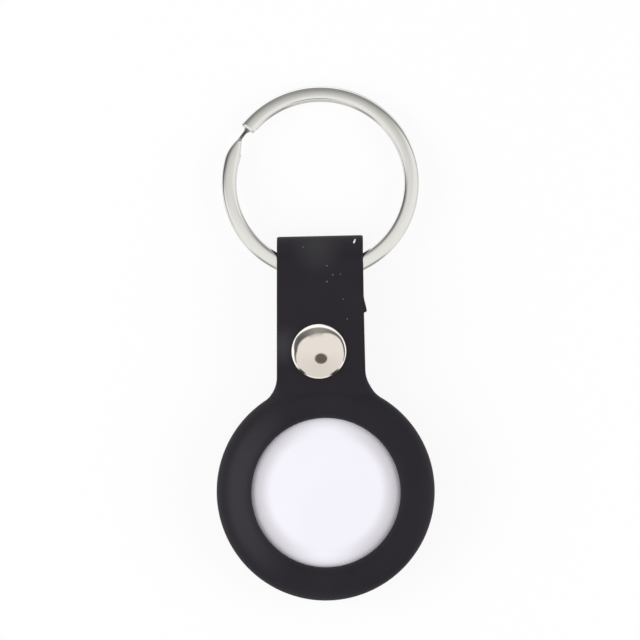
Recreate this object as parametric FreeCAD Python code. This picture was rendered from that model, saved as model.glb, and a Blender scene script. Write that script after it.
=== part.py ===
"""Tracker tag holder: a moulded silicone pocket with a strap that folds through a split key ring and is
closed by a metal press stud, holding a round tracker tag with its board, speaker and coin cell.

Millimetres. The holder lies on its back: +Z comes out of its front, +Y points at the key ring.
The sketch frame has the pocket's axis at X = Y = 0 and its back at Z = 0. At the end every piece is moved
along Y, so that the origin is at the middle of the whole length, on the surface that the holder lies on.
"""

import FreeCAD, Part
import math
import os

from FreeCAD import Vector

# Tag, the round device in the pocket
TAG_CROWN_RADIUS = 140.0
TAG_SHOULDER_RADIUS = 5.0
TAG_REAR_ROUNDING = 1.6
TAG_WALL = 1.0
TAG_PARTING_HEIGHT = 2.2

# Pocket, the silicone ring round the tag
POCKET_WALL = 3.25
POCKET_FIT = 0.1
LIP_OVER_TAG = 1.0
LIP_REACH = 2.75
WINDOW_ROUNDING = 0.5
FRONT_ROUNDING = 2.8
REAR_ROUNDING = 2.2

# Strap, from the pocket round the key ring and back behind itself
STRAP_WIDTH = 15.2
STRAP_THICKNESS = 1.6
STRAP_SIDE_OFFSET = -0.95
STRAP_BELOW_POCKET_FRONT = 0.3
NECK_RADIUS = 5.4
TAIL_END_GAP = 0.7
TAIL_END_BEYOND_STUD = 0.96
TAIL_FLAT = 1.84
TAIL_CORNER_RADIUS = 3.0
TAIL_RISE_START = 1.8
TAIL_RISE_LENGTH = 8.0

# Press stud
SNAP_CLEARANCE = 0.25
CAP_DIAMETER = 10.0
CAP_HEIGHT = 1.2
CAP_CROWN_RADIUS = 30.0
CAP_SHOULDER_RADIUS = 0.8
CAP_STEM_RADIUS = 1.5
CAP_ROLL_WIDTH = 0.4
CAP_ROLL_HEIGHT = 0.25
SOCKET_RADIUS = 4.2
SOCKET_SHEET = 0.35
SOCKET_MOUTH_FIT = 0.25
SPRING_WIRE = 0.44
STUD_FLANGE_RADIUS = 4.0
STUD_WALL = 0.45
STUD_HEAD_SWELL = 0.4
STUD_HEAD_HEIGHT = 0.5
STUD_HEAD_CLEARANCE = 0.07
POST_FLANGE_HEIGHT = 0.5
POST_STEM_RADIUS = 1.1
METAL_FIT = 0.05

# Split key ring
RING_DIAMETER = 35.0
RING_WIRE_WIDTH = 2.3
RING_WIRE_THICKNESS = 1.05
RING_TURN_GAP = 0.42
RING_EDGE_ROUNDING = 0.35
RING_PLAY_ON_AXIS = 0.1
RING_AXIS_BELOW_FOLD = 1.2
RING_FRONT_END = 142.0
RING_STEP_HIGH = 157.0
RING_STEP_LOW = 144.0
RING_REAR_END = 160.0
RING_STEP_SECTIONS = 7

# Inside the tag, heights from its back
COVER_SEAT = 0.3
COVER_SHEET = 0.5
COVER_FIT = 0.1
SEAL_HEIGHT = 0.25
SEAL_WIDTH = 0.36
SKIRT_TO_CELL = 0.4
SKIRT_WALL = 1.0
TAB_REACH = 0.9
TAB_TO_WALL = 0.3
TAB_HEIGHT = 0.55
TAB_SPAN = 28.0
LUG_HEIGHT = 0.5
LUG_SPAN = 30.0
LUG_FIT = 0.3
LUG_TO_COVER = 0.3
BAYONET_COUNT = 3
WEB_TO_SKIRT = 0.2
CELL_DIAMETER = 20.0
CELL_THICKNESS = 3.2
CELL_TO_COVER = 0.2
CELL_FIT = 0.08
CELL_SHEET = 0.25
CELL_CAP_INSET = 1.1
CELL_GASKET_WALL = 0.3
CELL_CAP_RISE = 0.3
CONTACT_ROOM = 0.6
BOARD_THICKNESS = 0.6
BOARD_TO_ANTENNA = 0.13
BOARD_HOLE_RADIUS = 3.0
SPIGOT_WALL = 0.6
SPIGOT_TO_SHELL = 1.35
MAGNET_RADIUS = 4.2
MAGNET_HEIGHT = 1.0
MAGNET_TO_SHELL = 0.5
YOKE_RIM = 0.4
YOKE_HEIGHT = 0.4
YOKE_HUB_RECESS = 0.1
COIL_TO_MAGNET = 0.7
COIL_WIDTH = 1.3
COIL_HEIGHT = 0.95
ANTENNA_WIDTH = 0.45
ANTENNA_THICKNESS = 0.15
ANTENNA_SPAN = 300.0
CONTACT_SHEET = 0.15
CONTACT_WIDTH = 2.4
CONTACT_LENGTH = 10.0
SIDE_CONTACT_SPAN = 16.0
SIDE_CONTACT_COUNT = 2
SHIELD_WIDTH = 5.0
SHIELD_HEIGHT = 0.9
SHIELD_CLEARANCE = 0.6
CHIP_SIZES = ((4.4, 4.4, 0.7), (3.2, 2.4, 0.7), (3.0, 1.5, 0.6), (1.6, 0.8, 0.5), (1.6, 0.8, 0.5))
CHIP_FIRST_ANGLE = 55.0
CHIP_ANGLE_STEP = 50.0
SMALL_GAP = 0.02

# Worked out from the sizes above
cell_radius = CELL_DIAMETER / 2
well_radius = cell_radius + SMALL_GAP + CONTACT_SHEET + CELL_FIT
cell_cap_radius = cell_radius - CELL_CAP_INSET
gasket_outer = cell_cap_radius + CELL_GASKET_WALL
can_inner = cell_radius - CELL_SHEET
skirt_inner = cell_radius + SKIRT_TO_CELL
skirt_outer = skirt_inner + SKIRT_WALL
tab_radius = skirt_outer + TAB_REACH
bayonet_wall_radius = tab_radius + TAB_TO_WALL
cover_radius = bayonet_wall_radius + COVER_SEAT
cover_recess = cover_radius + COVER_FIT
spigot_radius = cover_recess + SPIGOT_WALL
tag_radius = spigot_radius + SPIGOT_TO_SHELL + TAG_WALL
antenna_outer = spigot_radius - SMALL_GAP
board_radius = antenna_outer - ANTENNA_WIDTH - BOARD_TO_ANTENNA
yoke_radius = MAGNET_RADIUS + YOKE_RIM
coil_inner_radius = MAGNET_RADIUS + COIL_TO_MAGNET
coil_outer_radius = coil_inner_radius + COIL_WIDTH
parts_ring_radius = (coil_outer_radius + board_radius) / 2
shield_length = board_radius - coil_outer_radius - 2 * SHIELD_CLEARANCE
lug_low = COVER_SHEET + LUG_TO_COVER
lug_high = lug_low + LUG_HEIGHT
tab_low = lug_high + LUG_FIT / 2
skirt_height = tab_low + TAB_HEIGHT
web_start = skirt_height + WEB_TO_SKIRT
cell_start = COVER_SHEET + CELL_TO_COVER
cell_end = cell_start + CELL_THICKNESS
crimp_top = cell_end - CELL_CAP_RISE
crimp_low = crimp_top - CELL_SHEET
gasket_low = crimp_low - CELL_SHEET
board_start = cell_end + CONTACT_ROOM
board_end = board_start + BOARD_THICKNESS
magnet_start = board_end + YOKE_HEIGHT
tag_thickness = magnet_start + MAGNET_HEIGHT + MAGNET_TO_SHELL + TAG_WALL
# The shoulder is rounded no further down than the parting line on the tag's side
shoulder_end = TAG_PARTING_HEIGHT + SMALL_GAP
shoulder_room = (
    TAG_CROWN_RADIUS**2 - tag_radius**2 - (shoulder_end - tag_thickness + TAG_CROWN_RADIUS) ** 2
) / (2 * (TAG_CROWN_RADIUS - tag_radius))
tag_shoulder = min(TAG_SHOULDER_RADIUS, shoulder_room)
tag_back = LIP_OVER_TAG
cavity_radius = tag_radius + POCKET_FIT
pocket_radius = cavity_radius + POCKET_WALL
pocket_thickness = tag_thickness + 2 * LIP_OVER_TAG
middle = pocket_thickness / 2
window_radius = tag_radius - LIP_REACH
stud_neck_radius = POST_STEM_RADIUS + METAL_FIT + STUD_WALL
stud_head_radius = stud_neck_radius + STUD_HEAD_SWELL
socket_mouth_radius = stud_head_radius + SOCKET_MOUTH_FIT
cap_roll_radius = CAP_STEM_RADIUS + CAP_ROLL_WIDTH
spring_room = SPRING_WIRE + 2 * SMALL_GAP
stud_room = spring_room + STUD_HEAD_HEIGHT + STUD_HEAD_CLEARANCE + CAP_ROLL_HEIGHT
socket_depth = 2 * SOCKET_SHEET + stud_room
snap_gap = socket_depth + SNAP_CLEARANCE + SOCKET_SHEET
strap_front = pocket_thickness - STRAP_BELOW_POCKET_FRONT
leg_inner = strap_front - STRAP_THICKNESS
fold_outer = strap_front - middle
fold_inner = fold_outer - STRAP_THICKNESS
strap_left = STRAP_SIDE_OFFSET - STRAP_WIDTH / 2
strap_right = STRAP_SIDE_OFFSET + STRAP_WIDTH / 2
tail_inner = leg_inner - snap_gap
tail_rear = tail_inner - STRAP_THICKNESS
tail_end = pocket_radius + TAIL_END_GAP
snap_x = STRAP_SIDE_OFFSET
snap_y = tail_end + TAIL_END_BEYOND_STUD + STUD_FLANGE_RADIUS
rise_end = snap_y + STUD_FLANGE_RADIUS + TAIL_FLAT
rise_top = rise_end + TAIL_RISE_LENGTH
fold_y = rise_top + TAIL_RISE_START
fold_crown = fold_y + fold_outer
ring_axis_y = fold_y - RING_AXIS_BELOW_FOLD
ring_radius = RING_DIAMETER / 2
ring_centre_from_axis = ring_radius - RING_WIRE_WIDTH + RING_PLAY_ON_AXIS
ring_half_height = RING_WIRE_THICKNESS + RING_TURN_GAP / 2
ring_turn_level = (RING_WIRE_THICKNESS + RING_TURN_GAP) / 2
reach = ring_centre_from_axis + ring_radius - RING_EDGE_ROUNDING
lift = ring_half_height - RING_EDGE_ROUNDING
# The ring hangs from the fold and its far end lies on the surface under the holder
ring_tilt = math.asin((middle - RING_EDGE_ROUNDING) / math.hypot(reach, lift)) - math.atan2(lift, reach)
ring_far_end = (
    ring_axis_y + reach * math.cos(ring_tilt) + lift * math.sin(ring_tilt) + RING_EDGE_ROUNDING
)
length_middle = (ring_far_end - pocket_radius) / 2


def on_circle(centre, radius, degrees):
    """The point of a circle at an angle, in the sketch plane."""
    turn = math.radians(degrees)
    return (centre[0] + radius * math.cos(turn), centre[1] + radius * math.sin(turn))


def outline(to_space, start, *steps):
    """A closed face. Each step is an end point, or a pair: a point to pass through and an end point."""
    edges = []
    here = start
    for step in steps + (start,):
        if isinstance(step[0], tuple):
            through, there = step
            edges.append(Part.Arc(to_space(here), to_space(through), to_space(there)).toShape())
        else:
            there = step
            if math.dist(here, there) > 1e-7:
                edges.append(Part.LineSegment(to_space(here), to_space(there)).toShape())
        here = there
    return Part.Face(Part.Wire(edges))


def half_section(point):
    """Radius and height, in the plane that is turned about the pocket's axis."""
    return Vector(point[0], 0, point[1])


def side_section(point):
    """Y and height, in the plane of the strap's left edge."""
    return Vector(strap_left, point[0], point[1])


def plan(height):
    """X and Y, at a height."""
    return lambda point: Vector(point[0], point[1], height)


def turned(start, *steps):
    """A solid of revolution about the pocket's axis."""
    return outline(half_section, start, *steps).revolve(Vector(0, 0, 0), Vector(0, 0, 1), 360)


def ring_sector(inner, outer, low, high, middle_angle, span):
    """A flat piece of a ring, centred on an angle."""
    face = outline(half_section, (inner, low), (outer, low), (outer, high), (inner, high))
    face.rotate(Vector(0, 0, 0), Vector(0, 0, 1), middle_angle - span / 2)
    return face.revolve(Vector(0, 0, 0), Vector(0, 0, 1), span)


def across_strap(face):
    """A side section of the strap, drawn out to the strap's width."""
    return face.extrude(Vector(STRAP_WIDTH, 0, 0))


def at_snap(shape):
    """A piece made on the pocket's axis, moved to the press stud's axis."""
    return shape.translated(Vector(snap_x, snap_y, 0))


def in_tag(shape):
    """A piece made with the tag's back at zero, moved into the pocket."""
    return shape.translated(Vector(0, 0, tag_back))


def snap_hole(radius):
    """A drill through both layers of the strap on the press stud's axis."""
    return at_snap(Part.makeCylinder(radius, pocket_thickness, Vector(0, 0, 0)))


def dome(radius, top, crown_radius, shoulder_radius):
    """Height of the shoulder's centre, and the point where the shoulder meets the crown."""
    centre_radius = radius - shoulder_radius
    crown_centre = top - crown_radius
    height = crown_centre + math.sqrt((crown_radius - shoulder_radius) ** 2 - centre_radius**2)
    share = crown_radius / (crown_radius - shoulder_radius)
    joint = (centre_radius * share, crown_centre + (height - crown_centre) * share)
    return height, joint


def crown_middle(joint, top, crown_radius):
    """A point of the crown halfway between its top and its edge."""
    half = joint[0] / 2
    return (half, top - crown_radius + math.sqrt(crown_radius**2 - half**2))


def shoulder_middle(radius, height, shoulder_radius, joint):
    """A point of the shoulder halfway between the crown and the side."""
    centre = (radius - shoulder_radius, height)
    angle = math.degrees(math.atan2(joint[1] - centre[1], joint[0] - centre[0]))
    return on_circle(centre, shoulder_radius, angle / 2)


def tag_form(grow, low):
    """The tag's front half down to a height, grown or shrunk by a wall or a fit, back at zero."""
    radius = tag_radius + grow
    top = tag_thickness + grow
    crown = TAG_CROWN_RADIUS + grow
    shoulder = tag_shoulder + grow
    height, joint = dome(radius, top, crown, shoulder)
    return turned(
        (0, low),
        (radius, low),
        (radius, height),
        (shoulder_middle(radius, height, shoulder, joint), joint),
        (crown_middle(joint, top, crown), (0, top)),
    )


def make_pocket_ring():
    """The pocket: a rounded ring with the tag's bed in it and a window at the front."""
    front = pocket_thickness
    front_centre = (pocket_radius - FRONT_ROUNDING, front - FRONT_ROUNDING)
    rear_centre = (pocket_radius - REAR_ROUNDING, REAR_ROUNDING)
    edge_centre = (window_radius + WINDOW_ROUNDING, front - WINDOW_ROUNDING)
    ring = turned(
        (window_radius, 0),
        (pocket_radius - REAR_ROUNDING, 0),
        (on_circle(rear_centre, REAR_ROUNDING, -45), (pocket_radius, REAR_ROUNDING)),
        (pocket_radius, front - FRONT_ROUNDING),
        (on_circle(front_centre, FRONT_ROUNDING, 45), (pocket_radius - FRONT_ROUNDING, front)),
        (window_radius + WINDOW_ROUNDING, front),
        (on_circle(edge_centre, WINDOW_ROUNDING, 135), (window_radius, front - WINDOW_ROUNDING)),
    )
    bed = in_tag(tag_form(POCKET_FIT, -tag_back))
    return ring.cut(bed)


def make_rear_lip():
    """The stretchy lip behind the tag, part of the same moulding."""
    rounding = TAG_REAR_ROUNDING + POCKET_FIT
    bed = tag_back - POCKET_FIT
    bed_centre = (cavity_radius - rounding, bed + rounding)
    edge_centre = (window_radius + WINDOW_ROUNDING, WINDOW_ROUNDING)
    return turned(
        (window_radius + WINDOW_ROUNDING, 0),
        (cavity_radius, 0),
        (cavity_radius, bed + rounding),
        (on_circle(bed_centre, rounding, -45), (cavity_radius - rounding, bed)),
        (window_radius, bed),
        (window_radius, WINDOW_ROUNDING),
        (on_circle(edge_centre, WINDOW_ROUNDING, -135), (window_radius + WINDOW_ROUNDING, 0)),
    )


def neck_fillet(edge_x, side):
    """Where a neck fillet leaves the strap's edge, passes, and meets the pocket's outline."""
    centre_x = edge_x + side * NECK_RADIUS
    centre = (centre_x, math.sqrt((pocket_radius + NECK_RADIUS) ** 2 - centre_x**2))
    share = pocket_radius / (pocket_radius + NECK_RADIUS)
    on_pocket = (centre[0] * share, centre[1] * share)
    on_strap = (edge_x, centre[1])
    toward = math.degrees(math.atan2(on_pocket[1] - centre[1], on_pocket[0] - centre[0])) % 360
    start = 0.0 if side < 0 else 180.0
    if side < 0:
        toward -= 360
    return on_strap, on_circle(centre, NECK_RADIUS, (start + toward) / 2), on_pocket


def make_front_leg():
    """The strap's front leg with its flared neck, up to the start of the fold."""
    left_strap, left_through, left_pocket = neck_fillet(strap_left, -1)
    right_strap, right_through, right_pocket = neck_fillet(strap_right, 1)
    share = cavity_radius / pocket_radius
    left_root = (left_pocket[0] * share, left_pocket[1] * share)
    right_root = (right_pocket[0] * share, right_pocket[1] * share)
    face = outline(
        plan(leg_inner),
        (strap_left, fold_y),
        left_strap,
        (left_through, left_pocket),
        left_root,
        ((0, cavity_radius), right_root),
        right_pocket,
        (right_through, right_strap),
        (strap_right, fold_y),
    )
    return face.extrude(Vector(0, 0, STRAP_THICKNESS))


def make_front_fold():
    """The front quarter of the fold, from the front leg to the crown."""
    centre = (fold_y, middle)
    face = outline(
        side_section,
        (fold_y, middle + fold_outer),
        (on_circle(centre, fold_outer, 45), (fold_y + fold_outer, middle)),
        (fold_y + fold_inner, middle),
        (on_circle(centre, fold_inner, 45), (fold_y, middle + fold_inner)),
    )
    return across_strap(face)


def make_holder_body():
    """The moulding: pocket ring, front leg and the front of the fold, with the press stud's hole."""
    body = make_pocket_ring().fuse([make_front_leg(), make_front_fold()])
    return body.cut(snap_hole(CAP_STEM_RADIUS + METAL_FIT)).removeSplitter()


def make_strap_tail():
    """The strap behind the fold: it comes down, rises towards the front leg and ends before the pocket."""
    centre = (fold_y, middle)
    low = middle - fold_outer
    rise = tail_rear - low
    bend = (TAIL_RISE_LENGTH**2 + rise**2) / (4 * rise)
    swing = math.degrees(2 * math.atan2(rise, TAIL_RISE_LENGTH))
    half = STRAP_THICKNESS / 2
    first_centre = (rise_top, low + half + bend)
    last_centre = (rise_end, tail_rear + half - bend)
    face = outline(
        side_section,
        (fold_y + fold_outer, middle),
        (on_circle(centre, fold_outer, -45), (fold_y, low)),
        (rise_top, low),
        (
            on_circle(first_centre, bend + half, -90 - swing / 2),
            on_circle(first_centre, bend + half, -90 - swing),
        ),
        (on_circle(last_centre, bend - half, 90 - swing / 2), (rise_end, tail_rear)),
        (tail_end, tail_rear),
        (tail_end, tail_inner),
        (rise_end, tail_inner),
        (
            on_circle(last_centre, bend + half, 90 - swing / 2),
            on_circle(last_centre, bend + half, 90 - swing),
        ),
        (on_circle(first_centre, bend - half, -90 - swing / 2), (rise_top, low + STRAP_THICKNESS)),
        (fold_y, low + STRAP_THICKNESS),
        (on_circle(centre, fold_inner, -45), (fold_y + fold_inner, middle)),
    )
    tail = across_strap(face)
    corners = [
        edge
        for edge in tail.Edges
        if abs(edge.BoundBox.YMax - tail_end) < 1e-6 and edge.BoundBox.XLength < 1e-6
    ]
    tail = tail.makeFillet(TAIL_CORNER_RADIUS, corners)
    return tail.cut(snap_hole(POST_STEM_RADIUS + METAL_FIT))


def make_snap_cap():
    """The polished cap on the front, with its stem rolled over inside the socket."""
    radius = CAP_DIAMETER / 2
    top = strap_front + CAP_HEIGHT
    height, joint = dome(radius, top, CAP_CROWN_RADIUS, CAP_SHOULDER_RADIUS)
    roll_top = leg_inner - SOCKET_SHEET
    return at_snap(
        turned(
            (0, roll_top - CAP_ROLL_HEIGHT),
            (cap_roll_radius, roll_top - CAP_ROLL_HEIGHT),
            (cap_roll_radius, roll_top),
            (CAP_STEM_RADIUS, roll_top),
            (CAP_STEM_RADIUS, strap_front),
            (radius, strap_front),
            (radius, height),
            (shoulder_middle(radius, height, CAP_SHOULDER_RADIUS, joint), joint),
            (crown_middle(joint, top, CAP_CROWN_RADIUS), (0, top)),
        )
    )


def make_snap_socket():
    """The pressed-sheet socket under the front leg, open below for the stud."""
    bottom = leg_inner - socket_depth
    bore = CAP_STEM_RADIUS + METAL_FIT
    return at_snap(
        turned(
            (bore, leg_inner),
            (SOCKET_RADIUS, leg_inner),
            (SOCKET_RADIUS, bottom),
            (socket_mouth_radius, bottom),
            (socket_mouth_radius, bottom + SOCKET_SHEET),
            (SOCKET_RADIUS - SOCKET_SHEET, bottom + SOCKET_SHEET),
            (SOCKET_RADIUS - SOCKET_SHEET, leg_inner - SOCKET_SHEET),
            (bore, leg_inner - SOCKET_SHEET),
        )
    )


def make_snap_spring():
    """The two spring wires in the socket that grip the stud's neck."""
    wire = SPRING_WIRE / 2
    side = stud_neck_radius + wire + METAL_FIT
    level = leg_inner - socket_depth + SOCKET_SHEET + wire + SMALL_GAP
    room = SOCKET_RADIUS - SOCKET_SHEET - METAL_FIT
    half_length = math.sqrt(room**2 - (side + wire) ** 2)
    wires = [
        Part.makeCylinder(wire, 2 * half_length, Vector(x, -half_length, level), Vector(0, 1, 0))
        for x in (-side, side)
    ]
    return at_snap(Part.makeCompound(wires))


def make_snap_stud():
    """The stud on the tail's inner face: a flange, a neck and a rounded head."""
    flange_top = tail_inner + SOCKET_SHEET
    spring_top = leg_inner - socket_depth + SOCKET_SHEET + SPRING_WIRE + 2 * SMALL_GAP
    head_top = spring_top + STUD_HEAD_HEIGHT
    swell = (stud_head_radius, spring_top + STUD_HEAD_HEIGHT / 2)
    bore = POST_STEM_RADIUS + METAL_FIT
    bore_top = flange_top + STUD_HEAD_HEIGHT
    return at_snap(
        turned(
            (bore, tail_inner),
            (STUD_FLANGE_RADIUS, tail_inner),
            (STUD_FLANGE_RADIUS, flange_top),
            (stud_neck_radius, flange_top),
            (stud_neck_radius, spring_top),
            (swell, (stud_neck_radius, head_top)),
            (0, head_top),
            (0, bore_top),
            (bore, bore_top),
        )
    )


def make_snap_post():
    """The post behind the tail, riveted up into the stud."""
    flange_bottom = tail_rear - POST_FLANGE_HEIGHT
    stem_top = tail_inner + SOCKET_SHEET + STUD_HEAD_HEIGHT - SMALL_GAP
    edge = POST_FLANGE_HEIGHT / 2
    rim_centre = (STUD_FLANGE_RADIUS - edge, flange_bottom + edge)
    return at_snap(
        turned(
            (0, flange_bottom),
            (STUD_FLANGE_RADIUS - edge, flange_bottom),
            (on_circle(rim_centre, edge, -45), (STUD_FLANGE_RADIUS, flange_bottom + edge)),
            (STUD_FLANGE_RADIUS, tail_rear),
            (POST_STEM_RADIUS, tail_rear),
            (POST_STEM_RADIUS, stem_top),
            (0, stem_top),
        )
    )


def wire_section(angle, level):
    """The ring wire's section, a flat with rounded edges, at an angle and height of the ring."""
    inner = ring_radius - RING_WIRE_WIDTH
    low = level - RING_WIRE_THICKNESS / 2
    high = level + RING_WIRE_THICKNESS / 2
    edge = RING_EDGE_ROUNDING
    corners = [
        ((inner + edge, low), (ring_radius - edge, low), (ring_radius - edge, low + edge), -45),
        ((ring_radius, low + edge), (ring_radius, high - edge), (ring_radius - edge, high - edge), 45),
        ((ring_radius - edge, high), (inner + edge, high), (inner + edge, high - edge), 135),
        ((inner, high - edge), (inner, low + edge), (inner + edge, low + edge), 225),
    ]
    steps = []
    for number, (_, end, centre, turn) in enumerate(corners):
        next_start = corners[(number + 1) % len(corners)][0]
        steps.append(end)
        steps.append((on_circle(centre, edge, turn), next_start))
    face = outline(half_section, corners[0][0], *steps)
    face.rotate(Vector(0, 0, 0), Vector(0, 0, 1), angle)
    return face


def ring_level(angle):
    """Height of the wire in the step that leads from the front turn down to the rear turn."""
    share = (RING_STEP_HIGH - angle) / (RING_STEP_HIGH - RING_STEP_LOW)
    share = min(1.0, max(0.0, share))
    ease = share * share * (3 - 2 * share)
    return ring_turn_level * (1 - 2 * ease)


def wire_points(angle, level):
    """Points round the wire's section, for measuring the gap between the turns."""
    inner = ring_radius - RING_WIRE_WIDTH
    low = level - RING_WIRE_THICKNESS / 2
    high = level + RING_WIRE_THICKNESS / 2
    turn = math.radians(angle)
    shares = [number / 4 for number in range(5)]
    flats = [(inner + share * RING_WIRE_WIDTH, z) for share in shares for z in (low, high)]
    return [(r * math.cos(turn), r * math.sin(turn), z) for r, z in flats]


def least_turn_gap():
    """The least distance between the front and the rear turn, measured on points of the wire."""
    front = [(a, ring_turn_level) for a in range(math.ceil(RING_STEP_HIGH), int(RING_FRONT_END) + 361)]
    rear = [(a, -ring_turn_level) for a in range(math.ceil(RING_REAR_END), int(RING_STEP_LOW) + 361)]
    least = ring_radius
    for angle, level in front:
        near = [wire_points(a, z) for a, z in rear if abs((a - angle + 180) % 360 - 180) <= 2]
        for here in wire_points(angle, level):
            for points in near:
                least = min(least, min(math.dist(here, there) for there in points))
    return least


def make_split_ring():
    """Two turns of flat spring wire with a step between them, tilted to the surface."""
    axis = (Vector(0, 0, 0), Vector(0, 0, 1))
    front_span = RING_FRONT_END + 360 - RING_STEP_HIGH
    rear_span = RING_STEP_LOW + 360 - RING_REAR_END
    front = wire_section(RING_STEP_HIGH, ring_turn_level).revolve(*axis, front_span)
    rear = wire_section(RING_REAR_END, -ring_turn_level).revolve(*axis, rear_span)
    angles = [
        RING_STEP_HIGH + (RING_STEP_LOW - RING_STEP_HIGH) * number / (RING_STEP_SECTIONS - 1)
        for number in range(RING_STEP_SECTIONS)
    ]
    wires = [wire_section(angle, ring_level(angle)).OuterWire for angle in angles]
    step = Part.makeLoft(wires, True, False)
    ring = front.fuse([step, rear]).removeSplitter()
    ring = ring.translated(Vector(0, ring_centre_from_axis, 0))
    ring.rotate(Vector(0, 0, 0), Vector(1, 0, 0), -math.degrees(ring_tilt))
    return ring.translated(Vector(STRAP_SIDE_OFFSET, ring_axis_y, middle))


def make_tag_front_shell():
    """The glossy front shell of the tag, down to the parting line on its side."""
    shell = tag_form(0, TAG_PARTING_HEIGHT)
    return in_tag(shell.cut(tag_form(-TAG_WALL, TAG_PARTING_HEIGHT)))


def make_tag_base():
    """The tag's rear frame: outer rim, bayonet lugs, the cell's well and the ledge that carries the board."""
    rim_centre = (tag_radius - TAG_REAR_ROUNDING, TAG_REAR_ROUNDING)
    ledge = COVER_SHEET + SEAL_HEIGHT
    frame = turned(
        (cover_recess, 0),
        (tag_radius - TAG_REAR_ROUNDING, 0),
        (on_circle(rim_centre, TAG_REAR_ROUNDING, -45), (tag_radius, TAG_REAR_ROUNDING)),
        (tag_radius, TAG_PARTING_HEIGHT),
        (spigot_radius, TAG_PARTING_HEIGHT),
        (spigot_radius, board_start),
        (well_radius, board_start),
        (well_radius, web_start),
        (bayonet_wall_radius, web_start),
        (bayonet_wall_radius, ledge),
        (cover_recess, ledge),
    )
    lugs = [
        ring_sector(
            skirt_outer + LUG_FIT,
            bayonet_wall_radius + SMALL_GAP,
            lug_low,
            lug_high,
            number * 360 / BAYONET_COUNT,
            LUG_SPAN,
        )
        for number in range(BAYONET_COUNT)
    ]
    return in_tag(frame.fuse(lugs).removeSplitter())


def make_battery_cover():
    """The metal battery cover: a disc with a skirt and three tabs that lock behind the base's lugs."""
    cover = turned(
        (0, 0),
        (cover_radius, 0),
        (cover_radius, COVER_SHEET),
        (skirt_outer, COVER_SHEET),
        (skirt_outer, skirt_height),
        (skirt_inner, skirt_height),
        (skirt_inner, COVER_SHEET),
        (0, COVER_SHEET),
    )
    tabs = [
        ring_sector(
            skirt_outer - SMALL_GAP,
            tab_radius,
            tab_low,
            skirt_height,
            number * 360 / BAYONET_COUNT,
            TAB_SPAN,
        )
        for number in range(BAYONET_COUNT)
    ]
    return in_tag(cover.fuse(tabs).removeSplitter())


def make_cover_seal():
    """The rubber ring between the battery cover and the ledge of the base."""
    return in_tag(
        turned(
            (cover_radius - SEAL_WIDTH, COVER_SHEET),
            (cover_radius, COVER_SHEET),
            (cover_radius, COVER_SHEET + SEAL_HEIGHT),
            (cover_radius - SEAL_WIDTH, COVER_SHEET + SEAL_HEIGHT),
        )
    )


def make_coin_cell_can():
    """The cell's positive can, crimped over the gasket."""
    return in_tag(
        turned(
            (0, cell_start),
            (cell_radius, cell_start),
            (cell_radius, crimp_top),
            (gasket_outer, crimp_top),
            (gasket_outer, crimp_low),
            (can_inner, crimp_low),
            (can_inner, cell_start + CELL_SHEET),
            (0, cell_start + CELL_SHEET),
        )
    )


def make_coin_cell_gasket():
    """The plastic ring that keeps the cell's can and cap apart."""
    return in_tag(
        turned(
            (cell_cap_radius, gasket_low),
            (can_inner, gasket_low),
            (can_inner, crimp_low),
            (gasket_outer, crimp_low),
            (gasket_outer, crimp_top),
            (cell_cap_radius, crimp_top),
        )
    )


def make_coin_cell_cap():
    """The cell's negative cap, with the filling under it in one solid."""
    return in_tag(
        turned(
            (0, cell_start + CELL_SHEET),
            (can_inner, cell_start + CELL_SHEET),
            (can_inner, gasket_low),
            (cell_cap_radius, gasket_low),
            (cell_cap_radius, cell_end - CELL_SHEET),
            (cell_cap_radius - CELL_SHEET, cell_end),
            (0, cell_end),
        )
    )


def make_main_board():
    """The round circuit board, with a hole for the speaker yoke's hub."""
    return in_tag(
        turned(
            (BOARD_HOLE_RADIUS, board_start),
            (board_radius, board_start),
            (board_radius, board_end),
            (BOARD_HOLE_RADIUS, board_end),
        )
    )


def on_board(size, angle):
    """A block on the board, at an angle round the speaker."""
    block = Part.makeBox(*size, Vector(parts_ring_radius - size[0] / 2, -size[1] / 2, board_end))
    block.rotate(Vector(0, 0, 0), Vector(0, 0, 1), angle)
    return in_tag(block)


def make_shield_can():
    """The metal can over the radio."""
    return on_board((shield_length, SHIELD_WIDTH, SHIELD_HEIGHT), 0.0)


def make_board_chips():
    """The chips and the crystal round the board."""
    blocks = [
        on_board(size, CHIP_FIRST_ANGLE + CHIP_ANGLE_STEP * number)
        for number, size in enumerate(CHIP_SIZES)
    ]
    return Part.makeCompound(blocks)


def make_magnet_yoke():
    """The steel plate under the speaker magnet, with a hub in the board's hole."""
    hub = BOARD_HOLE_RADIUS - METAL_FIT
    hub_low = board_start + YOKE_HUB_RECESS
    return in_tag(
        turned(
            (0, hub_low),
            (hub, hub_low),
            (hub, board_end),
            (yoke_radius, board_end),
            (yoke_radius, magnet_start),
            (0, magnet_start),
        )
    )


def make_speaker_magnet():
    """The disc magnet that the coil moves round."""
    return in_tag(Part.makeCylinder(MAGNET_RADIUS, MAGNET_HEIGHT, Vector(0, 0, magnet_start)))


def make_voice_coil():
    """The coil glued under the front shell, which the shell turns into sound."""
    roof = TAG_CROWN_RADIUS - TAG_WALL
    top = tag_thickness - TAG_CROWN_RADIUS + math.sqrt(roof**2 - coil_outer_radius**2) - SMALL_GAP
    return in_tag(
        turned(
            (coil_inner_radius, top - COIL_HEIGHT),
            (coil_outer_radius, top - COIL_HEIGHT),
            (coil_outer_radius, top),
            (coil_inner_radius, top),
        )
    )


def make_antenna():
    """The antenna strip round the board, on the base's ledge."""
    inner = antenna_outer - ANTENNA_WIDTH
    top = board_start + ANTENNA_THICKNESS
    return in_tag(
        ring_sector(inner, antenna_outer, board_start, top, 90.0, ANTENNA_SPAN)
    )


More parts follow.
